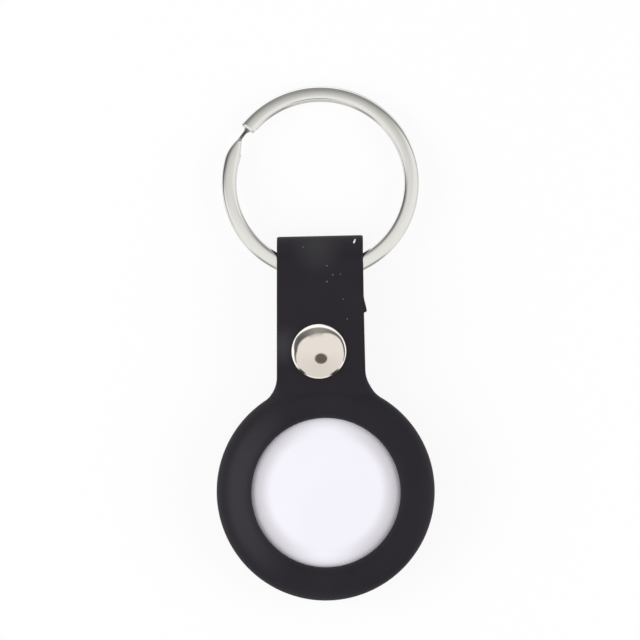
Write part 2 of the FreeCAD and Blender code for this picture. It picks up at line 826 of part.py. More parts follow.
def make_negative_contact():
    """The bowed leaf under the board that presses on the cell's cap."""
    high = board_start - CONTACT_SHEET - SMALL_GAP
    low = cell_end + SMALL_GAP
    half = CONTACT_LENGTH / 2
    face = outline(
        half_section,
        (-half, high),
        ((0, low), (half, high)),
        (half, high + CONTACT_SHEET),
        ((0, low + CONTACT_SHEET), (-half, high + CONTACT_SHEET)),
    )
    leaf = face.extrude(Vector(0, CONTACT_WIDTH, 0))
    return in_tag(leaf.translated(Vector(0, -CONTACT_WIDTH / 2, 0)))


def make_positive_contacts():
    """The two leaves in the well that press on the cell's can, up to the board."""
    leaves = [
        ring_sector(
            cell_radius + SMALL_GAP,
            cell_radius + SMALL_GAP + CONTACT_SHEET,
            web_start,
            board_start,
            90.0 + number * 360 / SIDE_CONTACT_COUNT,
            SIDE_CONTACT_SPAN,
        )
        for number in range(SIDE_CONTACT_COUNT)
    ]
    return in_tag(Part.makeCompound(leaves))


PIECES = {
    "holder_body": make_holder_body,
    "rear_lip": make_rear_lip,
    "strap_tail": make_strap_tail,
    "snap_cap": make_snap_cap,
    "snap_socket": make_snap_socket,
    "snap_spring": make_snap_spring,
    "snap_stud": make_snap_stud,
    "snap_post": make_snap_post,
    "split_ring": make_split_ring,
    "tag_front_shell": make_tag_front_shell,
    "tag_base": make_tag_base,
    "main_board": make_main_board,
    "shield_can": make_shield_can,
    "board_chips": make_board_chips,
    "magnet_yoke": make_magnet_yoke,
    "speaker_magnet": make_speaker_magnet,
    "voice_coil": make_voice_coil,
    "antenna": make_antenna,
    "negative_contact": make_negative_contact,
    "positive_contacts": make_positive_contacts,
    "coin_cell_can": make_coin_cell_can,
    "coin_cell_gasket": make_coin_cell_gasket,
    "coin_cell_cap": make_coin_cell_cap,
    "battery_cover": make_battery_cover,
    "cover_seal": make_cover_seal,
}


def main():
    os.makedirs("parts", exist_ok=True)
    for name, make in PIECES.items():
        shape = make().translated(Vector(0, -length_middle, 0))
        sound = shape.isValid() and all(solid.Volume > 0 for solid in shape.Solids)
        print(name, "solids", len(shape.Solids), "volume", round(shape.Volume, 3), "valid", sound)
        shape.exportStep(os.path.join("parts", name + ".step"))
    print("least gap between the ring's turns", round(least_turn_gap(), 3))
    print("pocket axis y", round(-length_middle, 4), "middle height", round(middle, 4))
    print("fold crown y", round(fold_crown - length_middle, 4), "strap x", STRAP_SIDE_OFFSET)
    print("ring axis y", round(ring_axis_y - length_middle, 4), "tilt", round(math.degrees(ring_tilt), 3))


main()
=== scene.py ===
import math

import bmesh
import bpy
import numpy as np
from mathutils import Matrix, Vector


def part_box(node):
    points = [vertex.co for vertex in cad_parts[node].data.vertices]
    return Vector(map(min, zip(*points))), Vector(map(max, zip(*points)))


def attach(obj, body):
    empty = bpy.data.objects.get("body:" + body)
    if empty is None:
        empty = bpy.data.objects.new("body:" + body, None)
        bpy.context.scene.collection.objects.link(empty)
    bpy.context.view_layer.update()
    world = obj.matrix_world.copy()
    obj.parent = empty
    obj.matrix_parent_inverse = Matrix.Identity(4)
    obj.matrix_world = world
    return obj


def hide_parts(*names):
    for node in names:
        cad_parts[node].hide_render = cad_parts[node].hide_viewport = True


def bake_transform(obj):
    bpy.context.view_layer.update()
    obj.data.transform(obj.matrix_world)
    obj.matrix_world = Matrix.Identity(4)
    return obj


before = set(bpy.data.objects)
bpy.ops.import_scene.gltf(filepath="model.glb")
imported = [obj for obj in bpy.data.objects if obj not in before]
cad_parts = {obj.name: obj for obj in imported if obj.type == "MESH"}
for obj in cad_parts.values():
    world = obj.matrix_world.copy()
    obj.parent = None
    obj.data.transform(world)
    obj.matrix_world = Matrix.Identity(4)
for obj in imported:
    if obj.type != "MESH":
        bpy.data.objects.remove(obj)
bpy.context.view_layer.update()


# Pocket: the round silicone moulding that holds the tag, with a window on both faces and a bed for the tag
# inside. It is pressed in a two-part mould, so a fine parting line runs round its side and its edges are
# generously rounded. Sizes are in millimetres here and in the sections below, down to the studio.
MM = 0.001
tag_low, tag_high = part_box("tag_front_shell")
POCKET_Y = (tag_low.y + tag_high.y) / 2 / MM
POCKET_RADIUS = 19.3
POCKET_THICKNESS = 10.0
WINDOW_RADIUS = 13.2
WINDOW_ROUNDING = 0.5
LIP_ROUNDING = 1.85
LIP_SHIFT = (0.05, -0.155)
LIP_SHIFT_REACH = 3.5
LIP_LOW = 6.0
FRONT_ROUNDING = 2.8
REAR_ROUNDING = 2.2
BED_RADIUS = 16.05
BED_SHOULDER = 5.1
BED_SHOULDER_CENTRE = (10.95, 3.555)
BED_BACK = 0.9
BED_REAR_ROUNDING = 1.7
PARTING_HEIGHT = 4.7
PARTING_RIDGE = 0.05
SAMPLE_STEP = 0.3
ARC_STEPS = 14
POCKET_SEGMENTS = 240
WELD = 0.0001


def trace(start, *moves):
    """Points of an outline: a move is an end point, or an arc as centre, radius, first and last angle."""
    points = [start]
    for move in moves:
        if len(move) == 2:
            here = np.array(points[-1])
            there = np.array(move)
            steps = max(2, int(np.linalg.norm(there - here) / SAMPLE_STEP) + 1)
            for step in range(1, steps + 1):
                points.append(tuple(here + (there - here) * step / steps))
        else:
            centre, radius, first, last = move
            for step in range(1, ARC_STEPS + 1):
                turn = math.radians(first + (last - first) * step / ARC_STEPS)
                points.append((centre[0] + radius * math.cos(turn), centre[1] + radius * math.sin(turn)))
    return points


def skin(name, loops, joined=False):
    """A closed mesh through loops of points; joined loops go all round, others get end caps."""
    loops = np.array(loops) * MM
    count, around = loops.shape[:2]
    faces = []
    for row in range(count if joined else count - 1):
        here = row * around
        there = (row + 1) % count * around
        for step in range(around):
            after = (step + 1) % around
            faces.append((here + step, here + after, there + after, there + step))
    if not joined:
        faces.append(tuple(range(around)))
        faces.append(tuple(range((count - 1) * around, count * around)))
    mesh = bpy.data.meshes.new(name)
    mesh.from_pydata(loops.reshape(-1, 3).tolist(), [], faces)
    work = bmesh.new()
    work.from_mesh(mesh)
    bmesh.ops.remove_doubles(work, verts=work.verts, dist=WELD * MM)
    bmesh.ops.dissolve_degenerate(work, edges=work.edges, dist=WELD * MM)
    bmesh.ops.recalc_face_normals(work, faces=work.faces)
    work.to_mesh(mesh)
    work.free()
    mesh.shade_smooth()
    piece = bpy.data.objects.new(name, mesh)
    bpy.context.scene.collection.objects.link(piece)
    return piece


def turned(name, section, x, y, segments, through_axis=False):
    """A turned piece from a half section of radius and height, on an upright axis at x, y."""
    loops = []
    for number in range(segments):
        turn = 2 * math.pi * number / segments
        loops.append([(x + r * math.cos(turn), y + r * math.sin(turn), z) for r, z in section])
    if not through_axis:
        return skin(name, loops, joined=True)
    return skin(name, np.array(loops).transpose(1, 0, 2))


def ease(share):
    """0 to 1 with soft ends."""
    share = min(1.0, max(0.0, share))
    return share * share * (3 - 2 * share)


def node_tools(tree):
    """A short way to add nodes to a tree, and one to join them."""

    def add(kind, **settings):
        node = tree.nodes.new(kind)
        for key, value in settings.items():
            if key[0].isupper():
                node.inputs[key.replace("_", " ")].default_value = value
            else:
                setattr(node, key, value)
        return node

    return add, tree.links.new


def finish_of(name):
    """A new node finish: the finish, its surface shader, and the tools to add and join nodes."""
    finish = bpy.data.materials.new(name)
    finish.use_nodes = True
    tree = finish.node_tree
    return finish, tree.nodes["Principled BSDF"], *node_tools(tree)


def feed(join, node, *terms):
    """Joins other nodes to a node's inputs, or sets fixed values on them, in order."""
    for entry, term in zip(node.inputs, terms):
        if isinstance(term, bpy.types.NodeSocket):
            join(term, entry)
        else:
            entry.default_value = term


def worked_out(add, join, kind, operation, *terms, give="Value"):
    """The outcome of one sum, of kind Math or VectorMath."""
    node = add("ShaderNode" + kind, operation=operation)
    feed(join, node, *terms)
    return node.outputs[give]


def soft_step(add, join, value, start, end, low=0.0, high=1.0):
    """A soft step from low to high while a value goes from start to end."""
    step = add("ShaderNodeMapRange", interpolation_type="SMOOTHSTEP", From_Min=start, From_Max=end)
    step.inputs["To Min"].default_value = low
    step.inputs["To Max"].default_value = high
    join(value, step.inputs["Value"])
    return step.outputs["Result"]


def spread(add, join, value, low, high):
    """A value from 0 to 1, spread between two levels."""
    span = add("ShaderNodeMapRange", To_Min=low, To_Max=high)
    join(value, span.inputs["Value"])
    return span.outputs["Result"]


def blend_colours(add, join, factor, low, high):
    """A colour between two colours by a factor; the low one is fixed or comes from another node."""
    mix = add("ShaderNodeMix", data_type="RGBA")
    join(factor, mix.inputs["Factor"])
    if isinstance(low, bpy.types.NodeSocket):
        join(low, mix.inputs["A"])
    else:
        mix.inputs["A"].default_value = (*low, 1)
    mix.inputs["B"].default_value = (*high, 1)
    return mix.outputs["Result"]


def noise(add, join, place, **settings):
    """A cloudy value from 0 to 1 over a surface."""
    cloud = add("ShaderNodeTexNoise", **settings)
    join(place, cloud.inputs["Vector"])
    return cloud.outputs["Fac"]


def relief(add, join, surface, height, strength, depth):
    """Fine relief on a surface, by a height from 0 to 1."""
    bump = add("ShaderNodeBump", Strength=strength, Distance=depth * MM)
    join(height, bump.inputs["Height"])
    join(bump.outputs["Normal"], surface.inputs["Normal"])


def spots(add, join, place, centres, solid=0.0):
    """1 at each point, falling to 0 at its radius; solid is the share of the radius that stays 1."""
    total = None
    for *centre, radius in centres:
        away = worked_out(add, join, "VectorMath", "DISTANCE", place, [c * MM for c in centre])
        spot = soft_step(add, join, away, solid * radius * MM, radius * MM, 1.0, 0.0)
        total = spot if total is None else worked_out(add, join, "Math", "MAXIMUM", total, spot)
    return total


def band_round(add, join, place, centre, radius, band, sides, both=False):
    """1 on the left of a band round a centre, or on its left and right, falling to 0 beside it."""
    middle = [c * MM for c in centre]
    centred = worked_out(add, join, "VectorMath", "SUBTRACT", place, middle, give="Vector")
    out = worked_out(add, join, "VectorMath", "LENGTH", centred)
    off = worked_out(add, join, "Math", "SUBTRACT", out, radius * MM)
    off = worked_out(add, join, "Math", "ABSOLUTE", off)
    on_band = soft_step(add, join, off, band[0] * MM, band[1] * MM, 1.0, 0.0)
    heading = worked_out(add, join, "VectorMath", "NORMALIZE", centred, give="Vector")
    sideways = worked_out(add, join, "VectorMath", "DOT_PRODUCT", heading, (-1, 0, 0))
    if both:
        sideways = worked_out(add, join, "Math", "ABSOLUTE", sideways)
    on_side = soft_step(add, join, sideways, *sides)
    return worked_out(add, join, "Math", "MULTIPLY", on_band, on_side)


SILICONE_DEEP = (0.0158, 0.0135, 0.0180)
SILICONE_PALE = (0.0212, 0.0186, 0.0238)
SILICONE_CLOUDS = {"Scale": 160.0, "Detail": 3.0}
SILICONE_IOR = 1.41
SILICONE_GLOSS = 0.17
SILICONE_SMOOTH = 0.46
SILICONE_ROUGH = 0.58
GRAIN = {"Scale": 5200.0, "Detail": 2.0}
GRAIN_STRENGTH = 0.25
GRAIN_DEPTH = 0.02
# Painted sheen: a lighter colour laid on the silicone where light falls, on the pocket's left and in patches
# on the strap.
PAINTED_SHEEN_COLOUR = (0.0355, 0.0335, 0.0385)
PAINTED_SHEEN_RADIUS = 15.5
PAINTED_SHEEN_BAND = (0.9, 2.8)
PAINTED_SHEEN_SIDES = (math.cos(math.radians(68)), math.cos(math.radians(8)))
LINT_COLOUR = (0.16, 0.15, 0.16)
FLECK_COLOUR = (0.95, 0.95, 0.95)
LINT_CELLS = 330.0
LINT_SIZE = 0.10
LINT_RARITY = 0.93
SPECK_SOLID = 0.8


def pocket_painted_sheen(add, join, place):
    """Painted sheen: a lighter band on the left of the pocket's front, where the light falls on it."""
    centre = (0, POCKET_Y, POCKET_THICKNESS)
    return band_round(add, join, place, centre, PAINTED_SHEEN_RADIUS, PAINTED_SHEEN_BAND, PAINTED_SHEEN_SIDES)


def silicone_finish(name, painted_sheen, specks=(), flecks=()):
    """Matt black silicone with a violet cast, a fine moulded grain, painted sheen, a few specks of lint and a
    few near-white spots.
    """
    finish, surface, add, join = finish_of(name)
    place = add("ShaderNodeTexCoord").outputs["Object"]
    cloud = noise(add, join, place, **SILICONE_CLOUDS)
    cells = add("ShaderNodeTexVoronoi", Scale=LINT_CELLS)
    join(place, cells.inputs["Vector"])
    near = worked_out(add, join, "Math", "LESS_THAN", cells.outputs["Distance"], LINT_SIZE)
    pick = add("ShaderNodeSeparateColor")
    join(cells.outputs["Color"], pick.inputs["Color"])
    rare = worked_out(add, join, "Math", "GREATER_THAN", pick.outputs["Red"], LINT_RARITY)
    lint = worked_out(add, join, "Math", "MULTIPLY", near, rare)
    # The painted sheen goes on here as a lighter layer, after the lint.
    layers = [(lint, LINT_COLOUR), (painted_sheen(add, join, place), PAINTED_SHEEN_COLOUR)]
    if specks:
        layers.append((spots(add, join, place, specks, SPECK_SOLID), LINT_COLOUR))
    if flecks:
        layers.append((spots(add, join, place, flecks, SPECK_SOLID), FLECK_COLOUR))
    colour = blend_colours(add, join, cloud, SILICONE_DEEP, SILICONE_PALE)
    for share, shade in layers:
        colour = blend_colours(add, join, share, colour, shade)
    join(colour, surface.inputs["Base Color"])
    join(spread(add, join, cloud, SILICONE_SMOOTH, SILICONE_ROUGH), surface.inputs["Roughness"])
    surface.inputs["IOR"].default_value = SILICONE_IOR
    surface.inputs["Specular IOR Level"].default_value = SILICONE_GLOSS
    grain = noise(add, join, place, **GRAIN)
    relief(add, join, surface, grain, GRAIN_STRENGTH, GRAIN_DEPTH)
    return finish


pocket_silicone = silicone_finish("black_silicone_matt", pocket_painted_sheen)
rear_corner = (POCKET_RADIUS - REAR_ROUNDING, REAR_ROUNDING)
front_corner = (POCKET_RADIUS - FRONT_ROUNDING, POCKET_THICKNESS - FRONT_ROUNDING)
front_edge = (WINDOW_RADIUS + LIP_ROUNDING, POCKET_THICKNESS - LIP_ROUNDING)
rear_edge = (WINDOW_RADIUS + WINDOW_ROUNDING, WINDOW_ROUNDING)
bed_meets_window = math.degrees(math.acos((WINDOW_RADIUS - BED_SHOULDER_CENTRE[0]) / BED_SHOULDER))
bed_top = BED_SHOULDER_CENTRE[1] + BED_SHOULDER * math.sin(math.radians(bed_meets_window))
bed_corner = (BED_RADIUS - BED_REAR_ROUNDING, BED_BACK + BED_REAR_ROUNDING)
pocket_section = trace(
    (WINDOW_RADIUS + WINDOW_ROUNDING, 0),
    (POCKET_RADIUS - REAR_ROUNDING, 0),
    (rear_corner, REAR_ROUNDING, -90, 0),
    (POCKET_RADIUS, PARTING_HEIGHT - 2 * PARTING_RIDGE),
    (POCKET_RADIUS + PARTING_RIDGE, PARTING_HEIGHT),
    (POCKET_RADIUS, PARTING_HEIGHT + 2 * PARTING_RIDGE),
    (POCKET_RADIUS, POCKET_THICKNESS - FRONT_ROUNDING),
    (front_corner, FRONT_ROUNDING, 0, 90),
    (WINDOW_RADIUS + LIP_ROUNDING, POCKET_THICKNESS),
    (front_edge, LIP_ROUNDING, 90, 180),
    (WINDOW_RADIUS, bed_top),
    (BED_SHOULDER_CENTRE, BED_SHOULDER, bed_meets_window, 0),
    (BED_RADIUS, BED_BACK + BED_REAR_ROUNDING),
    (bed_corner, BED_REAR_ROUNDING, 0, -90),
    (WINDOW_RADIUS, BED_BACK),
    (WINDOW_RADIUS, WINDOW_ROUNDING),
    (rear_edge, WINDOW_ROUNDING, 180, 270),
)[:-1]
pocket = turned("pocket_moulding", pocket_section, 0, POCKET_Y, POCKET_SEGMENTS)
for point in pocket.data.vertices:
    out = math.hypot(point.co.x, point.co.y - POCKET_Y * MM) / MM
    high = ease((point.co.z / MM - LIP_LOW) / (bed_top - LIP_LOW))
    share = high * (1 - ease((out - WINDOW_RADIUS) / LIP_SHIFT_REACH))
    point.co.x += LIP_SHIFT[0] * share * MM
    point.co.y += LIP_SHIFT[1] * share * MM
pocket.data.materials.append(pocket_silicone)
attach(pocket, "holder")
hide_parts("holder_body", "rear_lip")


# Strap: the front leg with its flared neck, grown out of the pocket in the same silicone shot, and the fold
# over the key ring. The real strap bends at the fold when the press stud is opened; this mesh stays one fixed
# piece. Its rear side runs on into the tail.
snap_low, snap_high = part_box("snap_cap")
tail_low, tail_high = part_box("strap_tail")
STRAP_X = (tail_low.x + tail_high.x) / 2 / MM
STRAP_WIDTH = (tail_high.x - tail_low.x) / MM
STRAP_THICKNESS = 1.6
CAP_HEIGHT = 1.2
STRAP_FRONT = snap_high.z / MM - CAP_HEIGHT
FOLD_CROWN_Y = tail_high.y / MM
FOLD_HEIGHT = POCKET_THICKNESS / 2
SNAP_Y = (snap_low.y + snap_high.y) / 2 / MM
CAP_ROLLED_EDGE = 0.06
CAP_RADIUS = (snap_high.x - snap_low.x) / 2 / MM - CAP_ROLLED_EDGE
STRAP_EDGE = 0.32
LEAST_THICKNESS = 0.03
NECK_RADIUS = 5.4
NECK_TIP_ROUNDING = 2.5
NECK_UNDER_FILLET = 1.5
NECK_BLEND = 0.1
NECK_SINK = 0.06
NECK_SINK_START = 0.8
NECK_START = 15.4
NECK_TUCK = 0.5
CAP_DENT = 0.10
CAP_DENT_WIDTH = 0.9
FOLD_SLANT = 0.022
FOLD_SLANT_START = 8.0
NIB_FROM_FOLD = (10.6, 13.5)
NIB_WIDTH = 0.5
LEFT_SWELL = 0.11
RIGHT_SHRINK = 0.055
SIDE_DRIFT = 0.44
SIDE_DRIFT_LENGTH = 24.0
SIDE_DRIFT_POWER = 1.5
SIDE_DRIFT_FADE = (15.7, 19.0)
STRAP_LINT = (
    (-4.0, 16.9, 0.12),
    (0.2, 13.6, 0.13),
    (1.25, 12.0, 0.13),
    (2.6, 12.1, 0.11),
    (0.2, 10.8, 0.14),
    (3.1, 7.7, 0.10),
    (3.8, 4.2, 0.12),
    (0.0, -9.9, 0.09),
)
# Near-white spots in a short streak on the fold's top right corner: x, y and radius of each.
STRAP_FLECKS = ((5.0, 17.72, 0.19), (5.07, 17.9, 0.19), (5.14, 18.08, 0.18), (5.2, 18.24, 0.15))
# Painted sheen on the strap, as lighter round patches: x, y, z and radius of each.
STRAP_PAINTED_SHEEN = ((-7.6, -0.5, 9.7, 4.6), (-1.5, 16.6, 8.4, 5.4))
ACROSS = 60
EDGE_STEPS = 6
FOLD_STEPS = 44
FOLD_TURN = 180.0
LOW_RUN = 1.0
ROW_STEP = 0.25
fold_outer = STRAP_FRONT - FOLD_HEIGHT
fold_y = FOLD_CROWN_Y - fold_outer
strap_left = STRAP_X - STRAP_WIDTH / 2 - LEFT_SWELL
strap_right = STRAP_X + STRAP_WIDTH / 2 - RIGHT_SHRINK
half_thick = STRAP_THICKNESS / 2
fold_middle = fold_outer - half_thick


def pocket_front(radius):
    """Height of the pocket's front at a radius, falling away over its rounded edge."""
    over = radius - (POCKET_RADIUS - FRONT_ROUNDING)
    if over <= 0:
        return POCKET_THICKNESS
    if over >= FRONT_ROUNDING:
        return POCKET_THICKNESS - FRONT_ROUNDING
    return POCKET_THICKNESS - FRONT_ROUNDING + math.sqrt(FRONT_ROUNDING**2 - over**2)


def neck_edge(side, from_axis):
    """Edge of the strap at a distance from the pocket's axis: x, edge rounding, and lean of the edge."""
    edge_x = strap_left if side < 0 else strap_right
    centre_x = edge_x + side * NECK_RADIUS
    centre_y = math.sqrt((POCKET_RADIUS + NECK_RADIUS) ** 2 - centre_x**2)
    tip_y = centre_y * POCKET_RADIUS / (POCKET_RADIUS + NECK_RADIUS)
    if from_axis >= centre_y:
        return edge_x, STRAP_EDGE, 1.0
    if from_axis >= tip_y:
        down = centre_y - from_axis
        along = math.sqrt(NECK_RADIUS**2 - down**2)
        share = ease(down / (centre_y - tip_y))
        rounding = STRAP_EDGE + (NECK_TIP_ROUNDING - STRAP_EDGE) * share
        return centre_x - side * along, rounding, along / NECK_RADIUS
    tuck = NECK_TUCK * ease((tip_y - from_axis) / NECK_TUCK)
    edge_x = side * (math.sqrt(POCKET_RADIUS**2 - from_axis**2) - tuck)
    return edge_x, NECK_TIP_ROUNDING, from_axis / POCKET_RADIUS


def neck_top(x, from_axis, height):
    """The strap's front near the pocket, run softly into the pocket's rounded edge and then under it."""
    round_pocket = pocket_front(math.hypot(x, from_axis))
    apart = height - round_pocket
    blend = max(NECK_BLEND - abs(apart), 0) / NECK_BLEND
    top = max(height, round_pocket) + blend * blend * NECK_BLEND / 4
    return top - NECK_SINK * ease((-apart - NECK_BLEND * NECK_SINK_START) / NECK_BLEND)


def neck_under(x, from_axis, height):
    """The strap's rear face near the pocket, with the fillet that carries it into the pocket's side."""
    out = math.hypot(x, from_axis) - POCKET_RADIUS
    out = min(NECK_UNDER_FILLET, max(0.0, out))
    return height - NECK_UNDER_FILLET + math.sqrt(NECK_UNDER_FILLET**2 - (NECK_UNDER_FILLET - out) ** 2)


def cap_dent(x, y):
    """How far the cap presses the silicone in round its rim."""
    away = math.hypot(x - STRAP_X, y - SNAP_Y) - CAP_RADIUS
    return CAP_DENT * math.exp(-((away / CAP_DENT_WIDTH) ** 2))


def side_run(y):
    """How far the right edge stands out, at its front corner and at its rear: it drifts out towards the
    neck, and a small tear of mould flash hangs on the front corner."""
    down = FOLD_CROWN_Y - y
    first, last = SIDE_DRIFT_FADE
    drift = SIDE_DRIFT * (max(0.0, down) / SIDE_DRIFT_LENGTH) ** SIDE_DRIFT_POWER
    drift *= ease((y - POCKET_Y - first) / (last - first))
    first, last = NIB_FROM_FOLD
    flash = NIB_WIDTH * ease((down - first) / (last - first)) if first < down <= last else 0.0
    return drift + flash, drift


def on_front(x, y, radius):
    """A spot on the strap's front, on the leg or on the fold, at a place seen from above."""
    up = max(0.0, y - FOLD_SLANT * (x - STRAP_X) - fold_y)
    return x, y, FOLD_HEIGHT + math.sqrt(fold_outer**2 - up**2), radius


def across_strap(left, right):
    """Stations across the strap: x, depth of the rounded edge there as a share, and the rounding."""
    stations = []
    for edge_x, rounding, lean, side in ((*left, 1), (*right, -1)):
        for step in range(EDGE_STEPS):
            turn = math.pi / 2 * step / EDGE_STEPS
            x = edge_x + side * rounding * (1 - math.cos(turn)) / lean
            stations.append((x, 1 - math.sin(turn), rounding))
    first = left[0] + left[1] / left[2]
    last = right[0] - right[1] / right[2]
    flat = [(first + (last - first) * n / ACROSS, 0.0, 0.0) for n in range(ACROSS + 1)]
    return stations[:EDGE_STEPS] + flat + stations[EDGE_STEPS:][::-1]


def edges_drawn_in(by):
    """The strap's left and right edge, drawn in by a distance: x, edge rounding, and lean of the edge."""
    return (strap_left + by, STRAP_EDGE, 1.0), (strap_right - by, STRAP_EDGE, 1.0)


def strap_loop(y, z, out_y, out_z, thick=half_thick, drawn_in=0.0):
    """A loop round the strap at a point of its middle line, given the direction out of its outer face."""
    outer, inner = [], []
    for x, depth, rounding in across_strap(*edges_drawn_in(drawn_in)):
        far = thick - min(rounding, thick) * depth
        outer.append((x, y + far * out_y, z + far * out_z))
        inner.append((x, y - far * out_y, z - far * out_z))
    return outer + inner[::-1]


def slanted(loops):
    """Loops with the fold's slight slant, which fades towards the cap."""
    result = []
    for loop in loops:
        shares = [ease((y - SNAP_Y - CAP_RADIUS) / FOLD_SLANT_START) for _, y, _ in loop]
        slants = [FOLD_SLANT * (x - STRAP_X) * share for (x, _, _), share in zip(loop, shares)]
        result.append([(x, y + slant, z) for (x, y, z), slant in zip(loop, slants)])
    return result


def strap_painted_sheen(add, join, place):
    """Painted sheen: lighter patches on the strap beside the cap and along the fold."""
    return spots(add, join, place, STRAP_PAINTED_SHEEN)


strap_loops = []
row_y = POCKET_Y + NECK_START
while row_y < fold_y:
    from_axis = row_y - POCKET_Y
    left = neck_edge(-1, from_axis)
    right = neck_edge(1, from_axis)
    front_run, rear_run = side_run(row_y)
    front_row = across_strap(left, (right[0] + front_run, *right[1:]))
    rear_row = across_strap(left, (right[0] + rear_run, *right[1:]))
    top, under = [], []
    for (x, depth, rounding), (rear_x, *_) in zip(front_row, rear_row):
        front = STRAP_FRONT - cap_dent(x, row_y) - rounding * depth
        rear = neck_under(rear_x, from_axis, STRAP_FRONT - STRAP_THICKNESS) + STRAP_EDGE * depth
        top.append((x, row_y, neck_top(x, from_axis, front)))
        under.append((rear_x, row_y, min(rear, top[-1][2] - LEAST_THICKNESS)))
    strap_loops.append(top + under[::-1])
    row_y += ROW_STEP
for step in range(FOLD_STEPS + 1):
    turn = math.radians(90 - FOLD_TURN * step / FOLD_STEPS)
    out_y, out_z = math.cos(turn), math.sin(turn)
    middle_y, middle_z = fold_y + fold_middle * out_y, FOLD_HEIGHT + fold_middle * out_z
    strap_loops.append(strap_loop(middle_y, middle_z, out_y, out_z))
strap_loops.append(strap_loop(fold_y - LOW_RUN, FOLD_HEIGHT - fold_middle, 0, -1))
strap = skin("strap_moulding", slanted(strap_loops))
lint_spots = [on_front(*spot) for spot in STRAP_LINT]
fleck_spots = [on_front(*spot) for spot in STRAP_FLECKS]
strap.data.materials.append(silicone_finish("black_silicone_linty", strap_painted_sheen, lint_spots, fleck_spots))
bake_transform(strap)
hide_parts("holder_body")


# Tail: the strap's free end behind the front leg, the same silicone. It lies low behind the fold, rises in
# an S to the press stud and stops short of the pocket with two rounded corners.
TAIL_MIDDLE = 4.7
TAIL_RISE_START = 1.8
TAIL_RISE_LENGTH = 8.0
TAIL_FLAT_START = 0.4
TAIL_FLAT_ROWS = 20
TAIL_CORNER = 3.0
TAIL_CORNER_STEPS = 32
TAIL_OVERLAP = 0.5
TAIL_TUCK = 0.012
S_STEPS = 16
tail_end = tail_low.y / MM
low_middle = FOLD_HEIGHT - fold_middle
rise = TAIL_MIDDLE - low_middle
bend = (TAIL_RISE_LENGTH**2 + rise**2) / (4 * rise)
swing = 2 * math.atan2(rise, TAIL_RISE_LENGTH)
rise_top = fold_y - TAIL_RISE_START
rise_end = rise_top - TAIL_RISE_LENGTH
tucked_y = fold_y - LOW_RUN + TAIL_OVERLAP
tail_loops = [strap_loop(tucked_y, low_middle, 0, -1, half_thick - TAIL_TUCK, TAIL_TUCK)]
tail_loops.append(strap_loop(fold_y - LOW_RUN - TAIL_OVERLAP / 2, low_middle, 0, -1))
for step in range(S_STEPS + 1):
    turn = swing * step / S_STEPS
    y = rise_top - bend * math.sin(turn)
    z = low_middle + bend * (1 - math.cos(turn))
    tail_loops.append(strap_loop(y, z, -math.sin(turn), -math.cos(turn)))
for step in range(S_STEPS - 1, -1, -1):
    turn = swing * step / S_STEPS
    y = rise_end + bend * math.sin(turn)
    z = TAIL_MIDDLE - bend * (1 - math.cos(turn))
    tail_loops.append(strap_loop(y, z, -math.sin(turn), -math.cos(turn)))
for y in np.linspace(rise_end - TAIL_FLAT_START, tail_end + TAIL_CORNER, TAIL_FLAT_ROWS):
    tail_loops.append(strap_loop(y, TAIL_MIDDLE, 0, -1))
for step in range(1, TAIL_CORNER_STEPS + 1):
    turn = math.pi / 2 * step / TAIL_CORNER_STEPS
    y = tail_end + TAIL_CORNER * (1 - math.sin(turn))
    to_end = y - tail_end
    thick = half_thick
    if to_end < STRAP_EDGE:
        thick = half_thick - STRAP_EDGE + math.sqrt(STRAP_EDGE**2 - (STRAP_EDGE - to_end) ** 2)
    narrow = TAIL_CORNER * (1 - math.cos(turn))
    tail_loops.append(strap_loop(y, TAIL_MIDDLE, 0, -1, thick, narrow))
tail = skin("tail_moulding", slanted(tail_loops))
tail.data.materials.append(pocket_silicone)
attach(tail, "tail")
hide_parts("strap_tail")


# Press stud cap: a thin brass pressing, nickel plated and polished, domed with a rolled shoulder. Its stem
# goes through the front leg and is rolled over in the socket behind.
CAP_OFF_CENTRE = (-0.25, -0.12)
CAP_CROWN_RADIUS = 18.0
CAP_SHOULDER_START = 3.2
CAP_SHOULDER_DROP = 0.55
CAP_STEM_RADIUS = 1.5
CAP_STEM_DEPTH = 2.2
CAP_STATIONS = 48
CAP_SEGMENTS = 128
TINT_DETAIL = 3.0
TINT_PER_MARK = 4.0
MARK_DETAIL = 4.0
MARK_STRENGTH = 0.12
# Painted shade: a dark colour laid on spots where shade falls.
PAINTED_SHADE_COLOUR = (0.10, 0.10, 0.105)
PAINTED_SHADE_SOLID = 0.45


def metal_finish(name, dark, pale, smooth, rough, marks, depth, painted_shade_spots=()):
    """A metal with a cloudy tint, rubbed patches of roughness, fine tool marks and painted shade on any spots
    given.
    """
    finish, surface, add, join = finish_of(name)
    place = add("ShaderNodeTexCoord").outputs["Object"]
    tint = noise(add, join, place, Scale=marks / TINT_PER_MARK, Detail=TINT_DETAIL)
    colour = blend_colours(add, join, tint, dark, pale)
    # Painted shade darkens the metal at the given spots.
    if painted_shade_spots:
        painted_shade_share = spots(add, join, place, painted_shade_spots, PAINTED_SHADE_SOLID)
        colour = blend_colours(add, join, painted_shade_share, colour, PAINTED_SHADE_COLOUR)
    join(colour, surface.inputs["Base Color"])
    scuffs = noise(add, join, place, Scale=marks, Detail=MARK_DETAIL)
    join(spread(add, join, scuffs, smooth, rough), surface.inputs["Roughness"])
    relief(add, join, surface, scuffs, MARK_STRENGTH, depth)
    surface.inputs["Metallic"].default_value = 1.0
    return finish


